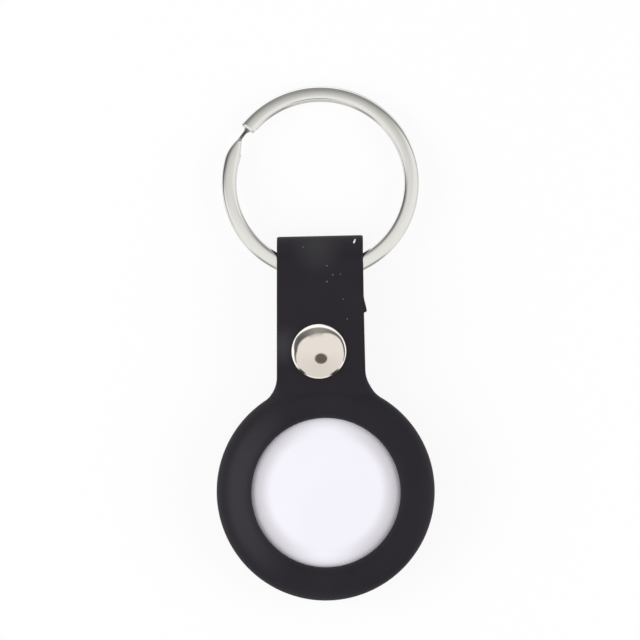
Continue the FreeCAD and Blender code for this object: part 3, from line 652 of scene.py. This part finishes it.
cap_section = []
for step in range(CAP_STATIONS + 1):
    turn = math.pi / 2 * step / CAP_STATIONS
    r = CAP_RADIUS * math.sin(turn)
    over = max(0.0, r - CAP_SHOULDER_START) / (CAP_RADIUS - CAP_SHOULDER_START)
    shoulder = CAP_SHOULDER_DROP * (1 - math.sqrt(max(0.0, 1 - over * over)))
    cap_section.append((r, STRAP_FRONT + CAP_HEIGHT - r * r / (2 * CAP_CROWN_RADIUS) - shoulder))
cap_section += [
    (CAP_RADIUS, STRAP_FRONT - CAP_DENT),
    (CAP_STEM_RADIUS, STRAP_FRONT - CAP_DENT),
    (CAP_STEM_RADIUS, STRAP_FRONT - CAP_STEM_DEPTH),
    (0, STRAP_FRONT - CAP_STEM_DEPTH),
]
cap_x = STRAP_X + CAP_OFF_CENTRE[0]
cap_y = SNAP_Y + CAP_OFF_CENTRE[1]
cap = turned("snap_cap_dome", cap_section, cap_x, cap_y, CAP_SEGMENTS, through_axis=True)
polished_nickel = metal_finish(
    "polished_nickel_plate",
    dark=(0.86, 0.815, 0.765),
    pale=(0.895, 0.862, 0.823),
    smooth=0.04,
    rough=0.09,
    marks=900.0,
    depth=0.002,
)
cap.data.materials.append(polished_nickel)
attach(cap, "holder")
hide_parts("snap_cap")


# Rest of the press stud: socket under the front leg with two spring wires, stud and riveted post on the tail.
# Barrel-plated steel pressings, duller than the cap, and hard-drawn wire. All but the post keep their drawn
# shapes.
def dress(finish, *nodes):
    """Puts a finish on pieces that keep their drawn shapes."""
    for node in nodes:
        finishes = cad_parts[node].data.materials
        finishes.clear()
        finishes.append(finish)


barrel_nickel = metal_finish(
    "barrel_nickel",
    dark=(0.55, 0.52, 0.48),
    pale=(0.68, 0.65, 0.61),
    smooth=0.18,
    rough=0.34,
    marks=700.0,
    depth=0.002,
)
spring_wire = metal_finish(
    "drawn_spring_wire",
    dark=(0.42, 0.42, 0.43),
    pale=(0.55, 0.55, 0.56),
    smooth=0.25,
    rough=0.40,
    marks=1500.0,
    depth=0.004,
)
dress(barrel_nickel, "snap_socket", "snap_stud")
dress(spring_wire, "snap_spring")
post_low, post_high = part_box("snap_post")
POST_REAR = post_low.z / MM
POST_TOP = post_high.z / MM
POST_RADIUS = (post_high.x - post_low.x) / 2 / MM
POST_FLANGE = 0.5
POST_EDGE = 0.25
POST_STEM_RADIUS = 1.1
POST_RIM = 0.55
POST_DISH = 0.16
POST_DIMPLE_RADIUS = 1.25
POST_DIMPLE = 0.2
rim_centre = (POST_RADIUS - POST_EDGE, POST_REAR + POST_EDGE)
post_section = []
for r in np.linspace(0, POST_RADIUS - POST_EDGE, CAP_STATIONS):
    sunk = POST_DISH * ease((POST_RADIUS - POST_EDGE - r) / POST_RIM)
    sunk += POST_DIMPLE * ease((POST_DIMPLE_RADIUS - r) / POST_RIM)
    post_section.append((r, POST_REAR + sunk))
post_section += trace(
    (POST_RADIUS - POST_EDGE, POST_REAR),
    (rim_centre, POST_EDGE, -90, 0),
    (POST_RADIUS, POST_REAR + POST_FLANGE),
    (POST_STEM_RADIUS, POST_REAR + POST_FLANGE),
    (POST_STEM_RADIUS, POST_TOP),
    (0, POST_TOP),
)[1:]
post = turned("snap_post_head", post_section, STRAP_X, SNAP_Y, CAP_SEGMENTS, through_axis=True)
post.data.materials.append(barrel_nickel)
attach(post, "tail")
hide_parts("snap_post")


# Split key ring: two turns of flat spring-steel wire with crowned faces, coiled, pinched at the step between
# the turns, then nickel plated and tumbled. It hangs loose in the strap's fold.
RING_RADIUS = 17.5
RING_WIRE_WIDTH = 2.6
RING_OVAL = 0.9845
RING_SHIFT = 0.12
RING_WIRE_THICKNESS = 1.05
RING_TURN_GAP = 0.42
RING_AXIS_BELOW_FOLD = 1.2
RING_CENTRE_FROM_AXIS = 15.3
RING_TILT = math.radians(6.629)
RING_FRONT_END = 143.0
RING_STEP_HIGH = 152.5
RING_STEP_LOW = 143.5
RING_REAR_END = 160.0
RING_END_ROUNDING = 0.2
RING_END_SIZE = 0.9
RING_TAPER = (165.5, 150.5)
RING_NECK = 0.22
RING_NECK_OUT = 0.10
RING_NECK_END = 146.0
RING_WIDE_AGAIN = 138.0
# Painted shade along the ring's step, where the wire runs down under the end of the other turn: angles of its
# spots.
RING_PAINTED_SHADE = (151.0, 149.0, 147.0, 145.0, 143.5)
RING_PAINTED_SHADE_RADIUS = 0.85
RING_SQUARENESS = 4.0
RING_SECTION_POINTS = 48
RING_ANGLE_STEP = 1.5
RING_FINE_STEP = 0.5
RING_FINE_FROM = 166.5
ring_level = (RING_WIRE_THICKNESS + RING_TURN_GAP) / 2
ring_axis_y = fold_y - RING_AXIS_BELOW_FOLD


def wire_loop(angle, level, width, size=1.0):
    """A loop round the ring's wire at an angle; the ring is sprung a little oval."""
    loop = []
    neck_out = RING_NECK_OUT * (1 - width / RING_WIRE_WIDTH)
    for number in range(RING_SECTION_POINTS):
        turn = 2 * math.pi * number / RING_SECTION_POINTS
        c, s = math.cos(turn), math.sin(turn)
        across = math.copysign(abs(c) ** (2 / RING_SQUARENESS), c) * width / 2
        up = math.copysign(abs(s) ** (2 / RING_SQUARENESS), s) * RING_WIRE_THICKNESS / 2
        r = RING_RADIUS - RING_WIRE_WIDTH / 2 + across * size + neck_out
        x = r * math.cos(math.radians(angle))
        y = r * math.sin(math.radians(angle)) * RING_OVAL + RING_CENTRE_FROM_AXIS + RING_SHIFT
        z = level + up * size
        y, z = (
            y * math.cos(RING_TILT) + z * math.sin(RING_TILT),
            z * math.cos(RING_TILT) - y * math.sin(RING_TILT),
        )
        loop.append((STRAP_X + x, ring_axis_y + y, FOLD_HEIGHT + z))
    return loop


def wire_width(angle):
    """The wire's width: it tapers to a narrow neck where it steps down under the end of the other turn."""
    first, last = RING_TAPER
    if angle >= first:
        share = 1.0
    elif angle > last:
        share = math.sin(math.pi / 2 * (angle - last) / (first - last))
    else:
        share = ease((RING_NECK_END - angle) / (RING_NECK_END - RING_WIDE_AGAIN))
    return RING_WIRE_WIDTH * (RING_NECK + (1 - RING_NECK) * share)


def wire_at(angle):
    """The wire's loop at an angle, counted down from the front end through the step to the rear end."""
    down = ease((RING_STEP_HIGH - angle) / (RING_STEP_HIGH - RING_STEP_LOW))
    return wire_loop(angle, ring_level * (1 - 2 * down), wire_width(angle))


first_angle = RING_FRONT_END + 360
last_angle = RING_REAR_END - 360
ring_loops = [wire_loop(first_angle + RING_END_ROUNDING, ring_level, RING_WIRE_WIDTH, RING_END_SIZE)]
angle = first_angle
while angle > last_angle:
    ring_loops.append(wire_at(angle))
    angle -= RING_FINE_STEP if RING_WIDE_AGAIN < angle <= RING_FINE_FROM else RING_ANGLE_STEP
ring_loops.append(wire_loop(last_angle, -ring_level, RING_WIRE_WIDTH))
ring_loops.append(wire_loop(last_angle - RING_END_ROUNDING, -ring_level, RING_WIRE_WIDTH, RING_END_SIZE))
ring = skin("key_ring_wire", ring_loops)
tumbled_steel = metal_finish(
    "tumbled_steel",
    dark=(0.83, 0.84, 0.835),
    pale=(0.91, 0.92, 0.915),
    smooth=0.05,
    rough=0.11,
    marks=520.0,
    depth=0.004,
    painted_shade_spots=[(*np.mean(wire_at(angle), axis=0), RING_PAINTED_SHADE_RADIUS) for angle in RING_PAINTED_SHADE],
)
ring.data.materials.append(tumbled_steel)
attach(ring, "ring")
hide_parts("split_ring")


# Tag front: a glossy white shell, moulded in one piece with a nearly flat crowned face and a deep rounded
# shoulder. Its face shows in the window, and it is also the speaker's membrane.
SHELL_TOP = tag_high.z / MM
SHELL_PARTING = tag_low.z / MM
SHELL_RADIUS = 15.95
SHELL_WALL = 1.0
SHELL_CROWN_RADIUS = 140.0
SHELL_SHOULDER_START = 10.4
SHELL_SIDE_TOP = 3.555
SHELL_HOLLOW_CENTRE = (10.95, SHELL_SIDE_TOP)
SHELL_HOLLOW_RADIUS = 4.0
SHELL_HOLLOW_TURN = 85.3
SHELL_STATIONS = 28
SHELL_SEGMENTS = 180
# Painted shade on the tag's shell: a grey band inside the window's edge, left and right.
SHELL_SHADE_PAINT = (0.70, 0.685, 0.73)
SHELL_SHADE_FROM_LIP = 1.4
SHELL_SHADE_BAND = (0.2, 2.3)
SHELL_SHADE_SIDES = (math.cos(math.radians(88)), math.cos(math.radians(40)))
RIPPLE_DETAIL = 2.0
RIPPLE_STRENGTH = 0.1
RIPPLE_DEPTH = 0.01


def shell_painted_shade(add, join, place):
    """Painted shade on the shell: a faint grey band left and right, just inside the window's edge, where the
    lip's shade falls.
    """
    centre = (0, POCKET_Y, SHELL_TOP)
    radius = WINDOW_RADIUS - SHELL_SHADE_FROM_LIP
    return band_round(add, join, place, centre, radius, SHELL_SHADE_BAND, SHELL_SHADE_SIDES, both=True)


def plastic_finish(name, deep, pale, smooth, rough, ripples, painted_shade_band=None):
    """A moulded plastic with a slight cloud in its colour, uneven gloss and a shallow ripple."""
    finish, surface, add, join = finish_of(name)
    place = add("ShaderNodeTexCoord").outputs["Object"]
    ripple = noise(add, join, place, Scale=ripples, Detail=RIPPLE_DETAIL)
    colour = blend_colours(add, join, ripple, deep, pale)
    # Painted shade, as a grey band, where one is given.
    if painted_shade_band:
        colour = blend_colours(add, join, painted_shade_band(add, join, place), colour, SHELL_SHADE_PAINT)
    join(colour, surface.inputs["Base Color"])
    join(spread(add, join, ripple, smooth, rough), surface.inputs["Roughness"])
    relief(add, join, surface, ripple, RIPPLE_STRENGTH, RIPPLE_DEPTH)
    return finish


shell_section = []
for r in np.linspace(0, SHELL_SHOULDER_START, SHELL_STATIONS):
    shell_section.append((r, SHELL_TOP - r * r / (2 * SHELL_CROWN_RADIUS)))
shoulder_top = shell_section[-1][1]
for turn in np.linspace(0, math.pi / 2, SHELL_STATIONS)[1:]:
    r = SHELL_SHOULDER_START + (SHELL_RADIUS - SHELL_SHOULDER_START) * math.sin(turn)
    shell_section.append((r, SHELL_SIDE_TOP + (shoulder_top - SHELL_SIDE_TOP) * math.cos(turn)))
shell_section += trace(
    (SHELL_RADIUS, SHELL_PARTING),
    (SHELL_RADIUS - SHELL_WALL, SHELL_PARTING),
    (SHELL_RADIUS - SHELL_WALL, SHELL_SIDE_TOP),
    (SHELL_HOLLOW_CENTRE, SHELL_HOLLOW_RADIUS, 0, SHELL_HOLLOW_TURN),
)
hollow_edge, hollow_height = shell_section[-1]
for r in np.linspace(hollow_edge, 0, SHELL_STATIONS)[1:]:
    rise = (hollow_edge**2 - r**2) / (2 * SHELL_CROWN_RADIUS)
    shell_section.append((r, hollow_height + rise))
shell = turned("tag_face_shell", shell_section, 0, POCKET_Y, SHELL_SEGMENTS, through_axis=True)
glossy_white = plastic_finish(
    "glossy_white_shell",
    deep=(0.85, 0.835, 0.905),
    pale=(0.88, 0.865, 0.935),
    smooth=0.10,
    rough=0.16,
    ripples=90.0,
    painted_shade_band=shell_painted_shade,
)
shell.data.materials.append(glossy_white)
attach(shell, "tag")
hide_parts("tag_front_shell")


# Tag base and battery cover: a satin white rear frame with the bayonet lugs, closed by a bare stainless cover
# that is pressed, then brushed in circles, with a rubber ring under its edge.
satin_white = plastic_finish(
    "satin_white_base",
    deep=(0.72, 0.72, 0.74),
    pale=(0.78, 0.78, 0.80),
    smooth=0.30,
    rough=0.42,
    ripples=300.0,
)
dress(satin_white, "tag_base")
COVER_DARK = (0.42, 0.42, 0.43)
COVER_PALE = (0.74, 0.74, 0.745)
COVER_SMOOTH = 0.14
COVER_ROUGH = 0.36
BRUSH_RINGS = 2400.0
BRUSH_TURNS = 1.6
BRUSH_ARCS = {"Scale": 1.0, "Detail": 4.0, "Roughness": 0.65}
BRUSH_STRENGTH = 0.15
BRUSH_DEPTH = 0.004
brushed_steel, surface, add, join = finish_of("brushed_cover_steel")
place = add("ShaderNodeTexCoord").outputs["Object"]
cover_centre = (0, POCKET_Y * MM, 0)
centred = worked_out(add, join, "VectorMath", "SUBTRACT", place, cover_centre, give="Vector")
flat = worked_out(add, join, "VectorMath", "MULTIPLY", centred, (1, 1, 0), give="Vector")
heading = worked_out(add, join, "VectorMath", "NORMALIZE", flat, give="Vector")
along = worked_out(add, join, "VectorMath", "MULTIPLY", heading, [BRUSH_TURNS] * 3, give="Vector")
out = worked_out(add, join, "VectorMath", "LENGTH", flat)
lift = add("ShaderNodeCombineXYZ")
join(worked_out(add, join, "Math", "MULTIPLY", out, BRUSH_RINGS), lift.inputs["Z"])
polar = worked_out(add, join, "VectorMath", "ADD", along, lift.outputs["Vector"], give="Vector")
arcs = noise(add, join, polar, **BRUSH_ARCS)
join(blend_colours(add, join, arcs, COVER_DARK, COVER_PALE), surface.inputs["Base Color"])
join(spread(add, join, arcs, COVER_SMOOTH, COVER_ROUGH), surface.inputs["Roughness"])
relief(add, join, surface, arcs, BRUSH_STRENGTH, BRUSH_DEPTH)
surface.inputs["Metallic"].default_value = 1.0
dress(brushed_steel, "battery_cover")
seal_rubber = plastic_finish(
    "seal_rubber_black",
    deep=(0.012, 0.012, 0.012),
    pale=(0.02, 0.02, 0.02),
    smooth=0.55,
    rough=0.7,
    ripples=900.0,
)
dress(seal_rubber, "cover_seal")


# Circuit board inside the tag: green solder mask over glass fibre with copper runs, black moulded chips, a
# tinned shield over the radio, a copper antenna strip round the edge, and gold-plated leaves for the cell.
MASK_DEEP = (0.008, 0.060, 0.022)
MASK_PALE = (0.020, 0.120, 0.045)
MASK_SMOOTH = 0.28
MASK_ROUGH = 0.4
RUN_SCALE = 420.0
RUN_WIDTH = 0.06
RUN_STRENGTH = 0.3
RUN_DEPTH = 0.02
solder_mask, surface, add, join = finish_of("green_solder_mask")
place = add("ShaderNodeTexCoord").outputs["Object"]
bricks = add("ShaderNodeTexBrick", Scale=RUN_SCALE, Mortar_Size=RUN_WIDTH)
join(place, bricks.inputs["Vector"])
runs = bricks.outputs["Fac"]
join(blend_colours(add, join, runs, MASK_DEEP, MASK_PALE), surface.inputs["Base Color"])
join(spread(add, join, runs, MASK_SMOOTH, MASK_ROUGH), surface.inputs["Roughness"])
relief(add, join, surface, runs, RUN_STRENGTH, RUN_DEPTH)
dress(solder_mask, "main_board")
chip_resin = plastic_finish(
    "chip_resin",
    deep=(0.012, 0.012, 0.013),
    pale=(0.03, 0.03, 0.032),
    smooth=0.45,
    rough=0.6,
    ripples=2500.0,
)
dress(chip_resin, "board_chips")
tinned_steel = metal_finish(
    "tinned_shield",
    dark=(0.60, 0.60, 0.58),
    pale=(0.72, 0.72, 0.70),
    smooth=0.22,
    rough=0.38,
    marks=800.0,
    depth=0.006,
)
dress(tinned_steel, "shield_can")
copper_foil = metal_finish(
    "antenna_copper_foil",
    dark=(0.62, 0.30, 0.17),
    pale=(0.80, 0.44, 0.27),
    smooth=0.16,
    rough=0.30,
    marks=900.0,
    depth=0.004,
)
dress(copper_foil, "antenna")
gold_leaf = metal_finish(
    "gold_plated_leaf",
    dark=(0.80, 0.58, 0.22),
    pale=(0.92, 0.72, 0.34),
    smooth=0.14,
    rough=0.26,
    marks=900.0,
    depth=0.004,
)
dress(gold_leaf, "negative_contact", "positive_contacts")


# Speaker: a nickel-plated disc magnet on a steel yoke in the middle of the board, and the coil of enamelled
# copper wire that is glued under the front shell and moves round the magnet.
yoke_steel = metal_finish(
    "yoke_steel_zinc",
    dark=(0.46, 0.47, 0.48),
    pale=(0.58, 0.59, 0.60),
    smooth=0.26,
    rough=0.42,
    marks=700.0,
    depth=0.006,
)
dress(yoke_steel, "magnet_yoke")
magnet_skin = metal_finish(
    "magnet_nickel_skin",
    dark=(0.62, 0.60, 0.56),
    pale=(0.74, 0.72, 0.68),
    smooth=0.12,
    rough=0.22,
    marks=600.0,
    depth=0.003,
)
dress(magnet_skin, "speaker_magnet")
COIL_DARK = (0.42, 0.13, 0.05)
COIL_PALE = (0.78, 0.34, 0.16)
COIL_METALLIC = 0.8
COIL_ROUGHNESS = 0.32
WINDING_SCALE = 2200.0
WINDING_WANDER = 0.4
WINDING_STRENGTH = 0.6
WINDING_DEPTH = 0.04
coil_wire, surface, add, join = finish_of("wound_coil_wire")
place = add("ShaderNodeTexCoord").outputs["Object"]
waves = add("ShaderNodeTexWave", bands_direction="Z", Scale=WINDING_SCALE, Distortion=WINDING_WANDER)
join(place, waves.inputs["Vector"])
windings = waves.outputs["Fac"]
join(blend_colours(add, join, windings, COIL_DARK, COIL_PALE), surface.inputs["Base Color"])
relief(add, join, surface, windings, WINDING_STRENGTH, WINDING_DEPTH)
surface.inputs["Metallic"].default_value = COIL_METALLIC
surface.inputs["Roughness"].default_value = COIL_ROUGHNESS
dress(coil_wire, "voice_coil")


# Coin cell: a stainless can crimped over a polypropylene gasket, with the stainless cap of the other pole
# inside it. The can faces the cover, the cap faces the board.
can_steel = metal_finish(
    "cell_can_steel",
    dark=(0.60, 0.60, 0.60),
    pale=(0.72, 0.72, 0.72),
    smooth=0.18,
    rough=0.30,
    marks=500.0,
    depth=0.004,
)
dress(can_steel, "coin_cell_can")
cap_steel = metal_finish(
    "cell_cap_steel",
    dark=(0.56, 0.56, 0.57),
    pale=(0.68, 0.68, 0.69),
    smooth=0.22,
    rough=0.36,
    marks=900.0,
    depth=0.006,
)
dress(cap_steel, "coin_cell_cap")
gasket_grey = plastic_finish(
    "gasket_grey",
    deep=(0.24, 0.25, 0.26),
    pale=(0.32, 0.33, 0.34),
    smooth=0.36,
    rough=0.5,
    ripples=900.0,
)
dress(gasket_grey, "coin_cell_gasket")


# Studio, in metres: a white table under an even white sky, a softbox on each side and one under the table,
# whose light the table lets through. The metal mirrors a tent of cream cloth with grey folds, brighter low
# down and closed in grey under the table, and the front of the camera's lens.
TABLE_SIZE = 1.6
TABLE_DROP = 0.00005
TABLE_WHITE = (0.9, 0.9, 0.9, 1)
PURE_WHITE = (1, 1, 1, 1)
SHADOW_SHARE = 0.11
SKY_LIGHT = 0.50
LAMP_SIZE = 0.62
LAMP_PLACES = (
    ("left_softbox", (-0.6, -0.08, 0.46), 3.8),
    ("right_softbox", (0.6, -0.08, 0.46), 2.75),
    ("under_softbox", (-0.2, -0.2, -0.5), 2.6),
)


def mixed(add, join, share, first, second):
    """A shader between two others, by a share that is fixed or comes from another node."""
    mix = add("ShaderNodeMixShader")
    feed(join, mix, share, first, second)
    return mix.outputs["Shader"]


def seen_directly(add, join):
    """1 for what the camera sees straight, mirrored or through glass, 0 for light on its way."""
    ray = add("ShaderNodeLightPath").outputs
    seen = worked_out(add, join, "Math", "MAXIMUM", ray["Is Camera Ray"], ray["Is Glossy Ray"])
    return worked_out(add, join, "Math", "MAXIMUM", seen, ray["Is Transmission Ray"])


bpy.ops.mesh.primitive_plane_add(size=TABLE_SIZE, location=(0, 0, -TABLE_DROP))
table = bpy.context.object
table.name = "white_table"
finish, surface, add, join = finish_of("white_table_top")
clear = add("ShaderNodeBsdfTransparent").outputs["BSDF"]
matt = add("ShaderNodeBsdfDiffuse", Color=TABLE_WHITE).outputs["BSDF"]
veil = mixed(add, join, SHADOW_SHARE, clear, matt)
from_below = add("ShaderNodeNewGeometry").outputs["Backfacing"]
seen_table = mixed(add, join, from_below, veil, clear)
lit_table = mixed(add, join, seen_directly(add, join), matt, seen_table)
lamp_light = add("ShaderNodeLightPath").outputs["Is Shadow Ray"]
table_top = mixed(add, join, lamp_light, lit_table, clear)
join(table_top, finish.node_tree.nodes["Material Output"].inputs["Surface"])
finish.node_tree.nodes.remove(surface)
table.data.materials.append(finish)

sky = bpy.data.worlds.new("white_studio")
bpy.context.scene.world = sky
sky.use_nodes = True
add, join = node_tools(sky.node_tree)
light = sky.node_tree.nodes["Background"]
light.inputs["Color"].default_value = PURE_WHITE
light.inputs["Strength"].default_value = SKY_LIGHT
white = add("ShaderNodeBackground", Color=PURE_WHITE, Strength=1.0)
backdrop = mixed(add, join, seen_directly(add, join), light.outputs[0], white.outputs[0])
join(backdrop, sky.node_tree.nodes["World Output"].inputs["Surface"])

for name, place, power in LAMP_PLACES:
    lamp_data = bpy.data.lights.new(name, "AREA")
    lamp_data.energy = power
    lamp_data.size = LAMP_SIZE
    lamp = bpy.data.objects.new(name, lamp_data)
    lamp.location = place
    lamp.rotation_euler = (-Vector(place)).to_track_quat("-Z", "Y").to_euler()
    lamp.visible_glossy = False
    lamp.visible_camera = False
    bpy.context.scene.collection.objects.link(lamp)

TENT_RADIUS = 0.5
TENT_EDGE = 180.0
TENT_LEAN_STEP = 1.5
TENT_TURN_STEP = 5.0
TENT_SEAM = 270.0
TENT_CREAM = (0.90, 0.87, 0.83)
TENT_BRIGHT = (1.2, 1.2, 1.2)
TENT_BRIGHT_FROM = (49.0, 57.0)
TENT_UNDER = (0.70, 0.69, 0.67)
TENT_UNDER_FROM = (98.0, 112.0)
TENT_NEAR_SHADE = 0.13
TENT_NEAR_SHADE_FULL = 20.0
TENT_NEAR_LATE = 16.0
TENT_NEAR_LATE_RISE = 2.0
MAIN_FOLD = (
    (-24.0, 62.0, 76.0, 0.75),
    (0.0, 50.0, 70.0, 0.92),
    (30.0, 46.0, 68.0, 0.90),
    (60.0, 27.5, 55.0, 0.76),
    (80.0, 14.9, 50.0, 0.65),
    (100.0, 14.5, 50.0, 0.63),
    (120.0, 14.9, 55.0, 0.74),
    (135.0, 20.0, 63.0, 0.82),
    (150.0, 26.0, 72.0, 0.86),
    (165.0, 31.0, 66.0, 0.84),
    (180.0, 33.0, 55.0, 0.88),
    (205.0, 50.0, 64.0, 0.65),
)
LOW_FOLD = (
    (-71.0, 72.0, 112.0, 0.0),
    (-60.0, 55.0, 112.0, 0.95),
    (-46.0, 55.0, 112.0, 0.95),
    (-37.0, 74.0, 112.0, 0.0),
    (30.0, 74.0, 112.0, 0.0),
    (42.0, 74.0, 112.0, 0.75),
    (75.0, 74.0, 112.0, 0.75),
    (88.0, 74.0, 112.0, 0.0),
    (216.0, 74.0, 112.0, 0.0),
    (224.0, 55.0, 112.0, 0.95),
    (236.0, 55.0, 112.0, 0.95),
    (247.0, 74.0, 112.0, 0.0),
)
FOLD_FEATHER_IN = 9.0
FOLD_FEATHER_OUT = 5.0
FOLD_PAST_END = 0.5


def only_mirrored(piece):
    """A studio piece that shows only in shiny surfaces."""
    piece.visible_camera = False
    piece.visible_diffuse = False
    piece.visible_shadow = False
    piece.visible_transmission = False


def glow_finish(name):
    """A finish that glows by itself and mirrors nothing."""
    finish, surface, add, join = finish_of(name)
    surface.inputs["Base Color"].default_value = (0, 0, 0, 1)
    surface.inputs["Specular IOR Level"].default_value = 0.0
    surface.inputs["Emission Strength"].default_value = 1.0
    return finish, surface.inputs["Emission Color"], add, join


def cloth_glow(lean, turn):
    """Brightness of the tent's cloth at a lean from overhead and a turn round it, both in degrees. A row of a
    fold gives its turn, the leans where the fold starts and ends there, and how dark it is."""
    if turn > TENT_SEAM:
        turn -= 360
    dark = 0.0
    for rows in (MAIN_FOLD, LOW_FOLD):
        turns, firsts, lasts, depths = zip(*rows)
        first = np.interp(turn, turns, firsts)
        last = np.interp(turn, turns, lasts)
        depth = np.interp(turn, turns, depths, left=0.0, right=0.0)
        begun = ease((lean - first) / FOLD_FEATHER_IN)
        left = ease((last - lean) / FOLD_FEATHER_OUT + FOLD_PAST_END)
        dark = max(dark, depth * (begun * left))
    nearness = max(0.0, -math.sin(math.radians(turn)))
    late = TENT_NEAR_LATE * ease(TENT_NEAR_LATE_RISE * nearness)
    low, high = TENT_BRIGHT_FROM
    bright = ease((lean - low - late) / (high - low))
    near = 1 - TENT_NEAR_SHADE * ease(lean / TENT_NEAR_SHADE_FULL) * nearness
    glow = np.array(TENT_CREAM) * (1 - bright) + np.array(TENT_BRIGHT) * bright
    low, high = TENT_UNDER_FROM
    under = ease((lean - low) / (high - low))
    glow = glow * (1 - under) + np.array(TENT_UNDER) * under
    return (*(glow * near * (1 - dark)), 1.0)


leans = np.arange(0, TENT_EDGE + TENT_LEAN_STEP / 2, TENT_LEAN_STEP)
turns = np.arange(0, 360, TENT_TURN_STEP)
tent_points = []
tent_glow = []
for lean in leans:
    out, up = TENT_RADIUS * math.sin(math.radians(lean)), TENT_RADIUS * math.cos(math.radians(lean))
    for turn in turns:
        tent_points.append((out * math.cos(math.radians(turn)), out * math.sin(math.radians(turn)), up))
        tent_glow.append(cloth_glow(lean, turn))
tent_faces = []
for row in range(len(leans) - 1):
    here, there = row * len(turns), (row + 1) * len(turns)
    for column in range(len(turns)):
        after = (column + 1) % len(turns)
        tent_faces.append((here + column, here + after, there + after, there + column))
tent_mesh = bpy.data.meshes.new("light_tent")
tent_mesh.from_pydata(tent_points, [], tent_faces)
glow = tent_mesh.attributes.new("glow", "FLOAT_COLOR", "POINT")
glow.data.foreach_set("color", np.array(tent_glow).ravel())
tent = bpy.data.objects.new("light_tent", tent_mesh)
bpy.context.scene.collection.objects.link(tent)
finish, glow_colour, add, join = glow_finish("tent_cloth")
join(add("ShaderNodeAttribute", attribute_name="glow").outputs["Color"], glow_colour)
tent_mesh.materials.append(finish)
only_mirrored(tent)

LENS_RADIUS = 0.0472
LENS_SIDES = 48
LENS_BREADTH = 1.18
LENS_HEIGHT = 0.45
LENS_SHIFT = (0.0180, -0.0672)
LENS_BROWN = (0.139, 0.119, 0.104, 1)
lens_place = (*LENS_SHIFT, LENS_HEIGHT)
bpy.ops.mesh.primitive_circle_add(
    vertices=LENS_SIDES, radius=LENS_RADIUS, fill_type="NGON", location=lens_place
)
lens = bpy.context.object
lens.name = "camera_front"
lens.scale = (LENS_BREADTH, 1, 1)
finish, glow_colour, add, join = glow_finish("lens_brown")
glow_colour.default_value = LENS_BROWN
lens.data.materials.append(finish)
only_mirrored(lens)

CAMERA_HEIGHT = 1.5
CAMERA_REACH = 10.0
FOCUS_HEIGHT = 0.009
VIEW_CENTRE = (-0.00101, 0.004002)
VIEW_WIDTH = 0.1132
SENSOR = 36.0
camera_data = bpy.data.cameras.new("photo_camera")
camera_data.sensor_width = SENSOR
camera_data.lens = SENSOR * (CAMERA_HEIGHT - FOCUS_HEIGHT) / VIEW_WIDTH
camera_data.clip_end = CAMERA_REACH
camera = bpy.data.objects.new("photo_camera", camera_data)
camera.location = (*VIEW_CENTRE, CAMERA_HEIGHT)
bpy.context.scene.collection.objects.link(camera)
bpy.context.scene.camera = camera
bpy.context.scene.view_settings.view_transform = "Standard"
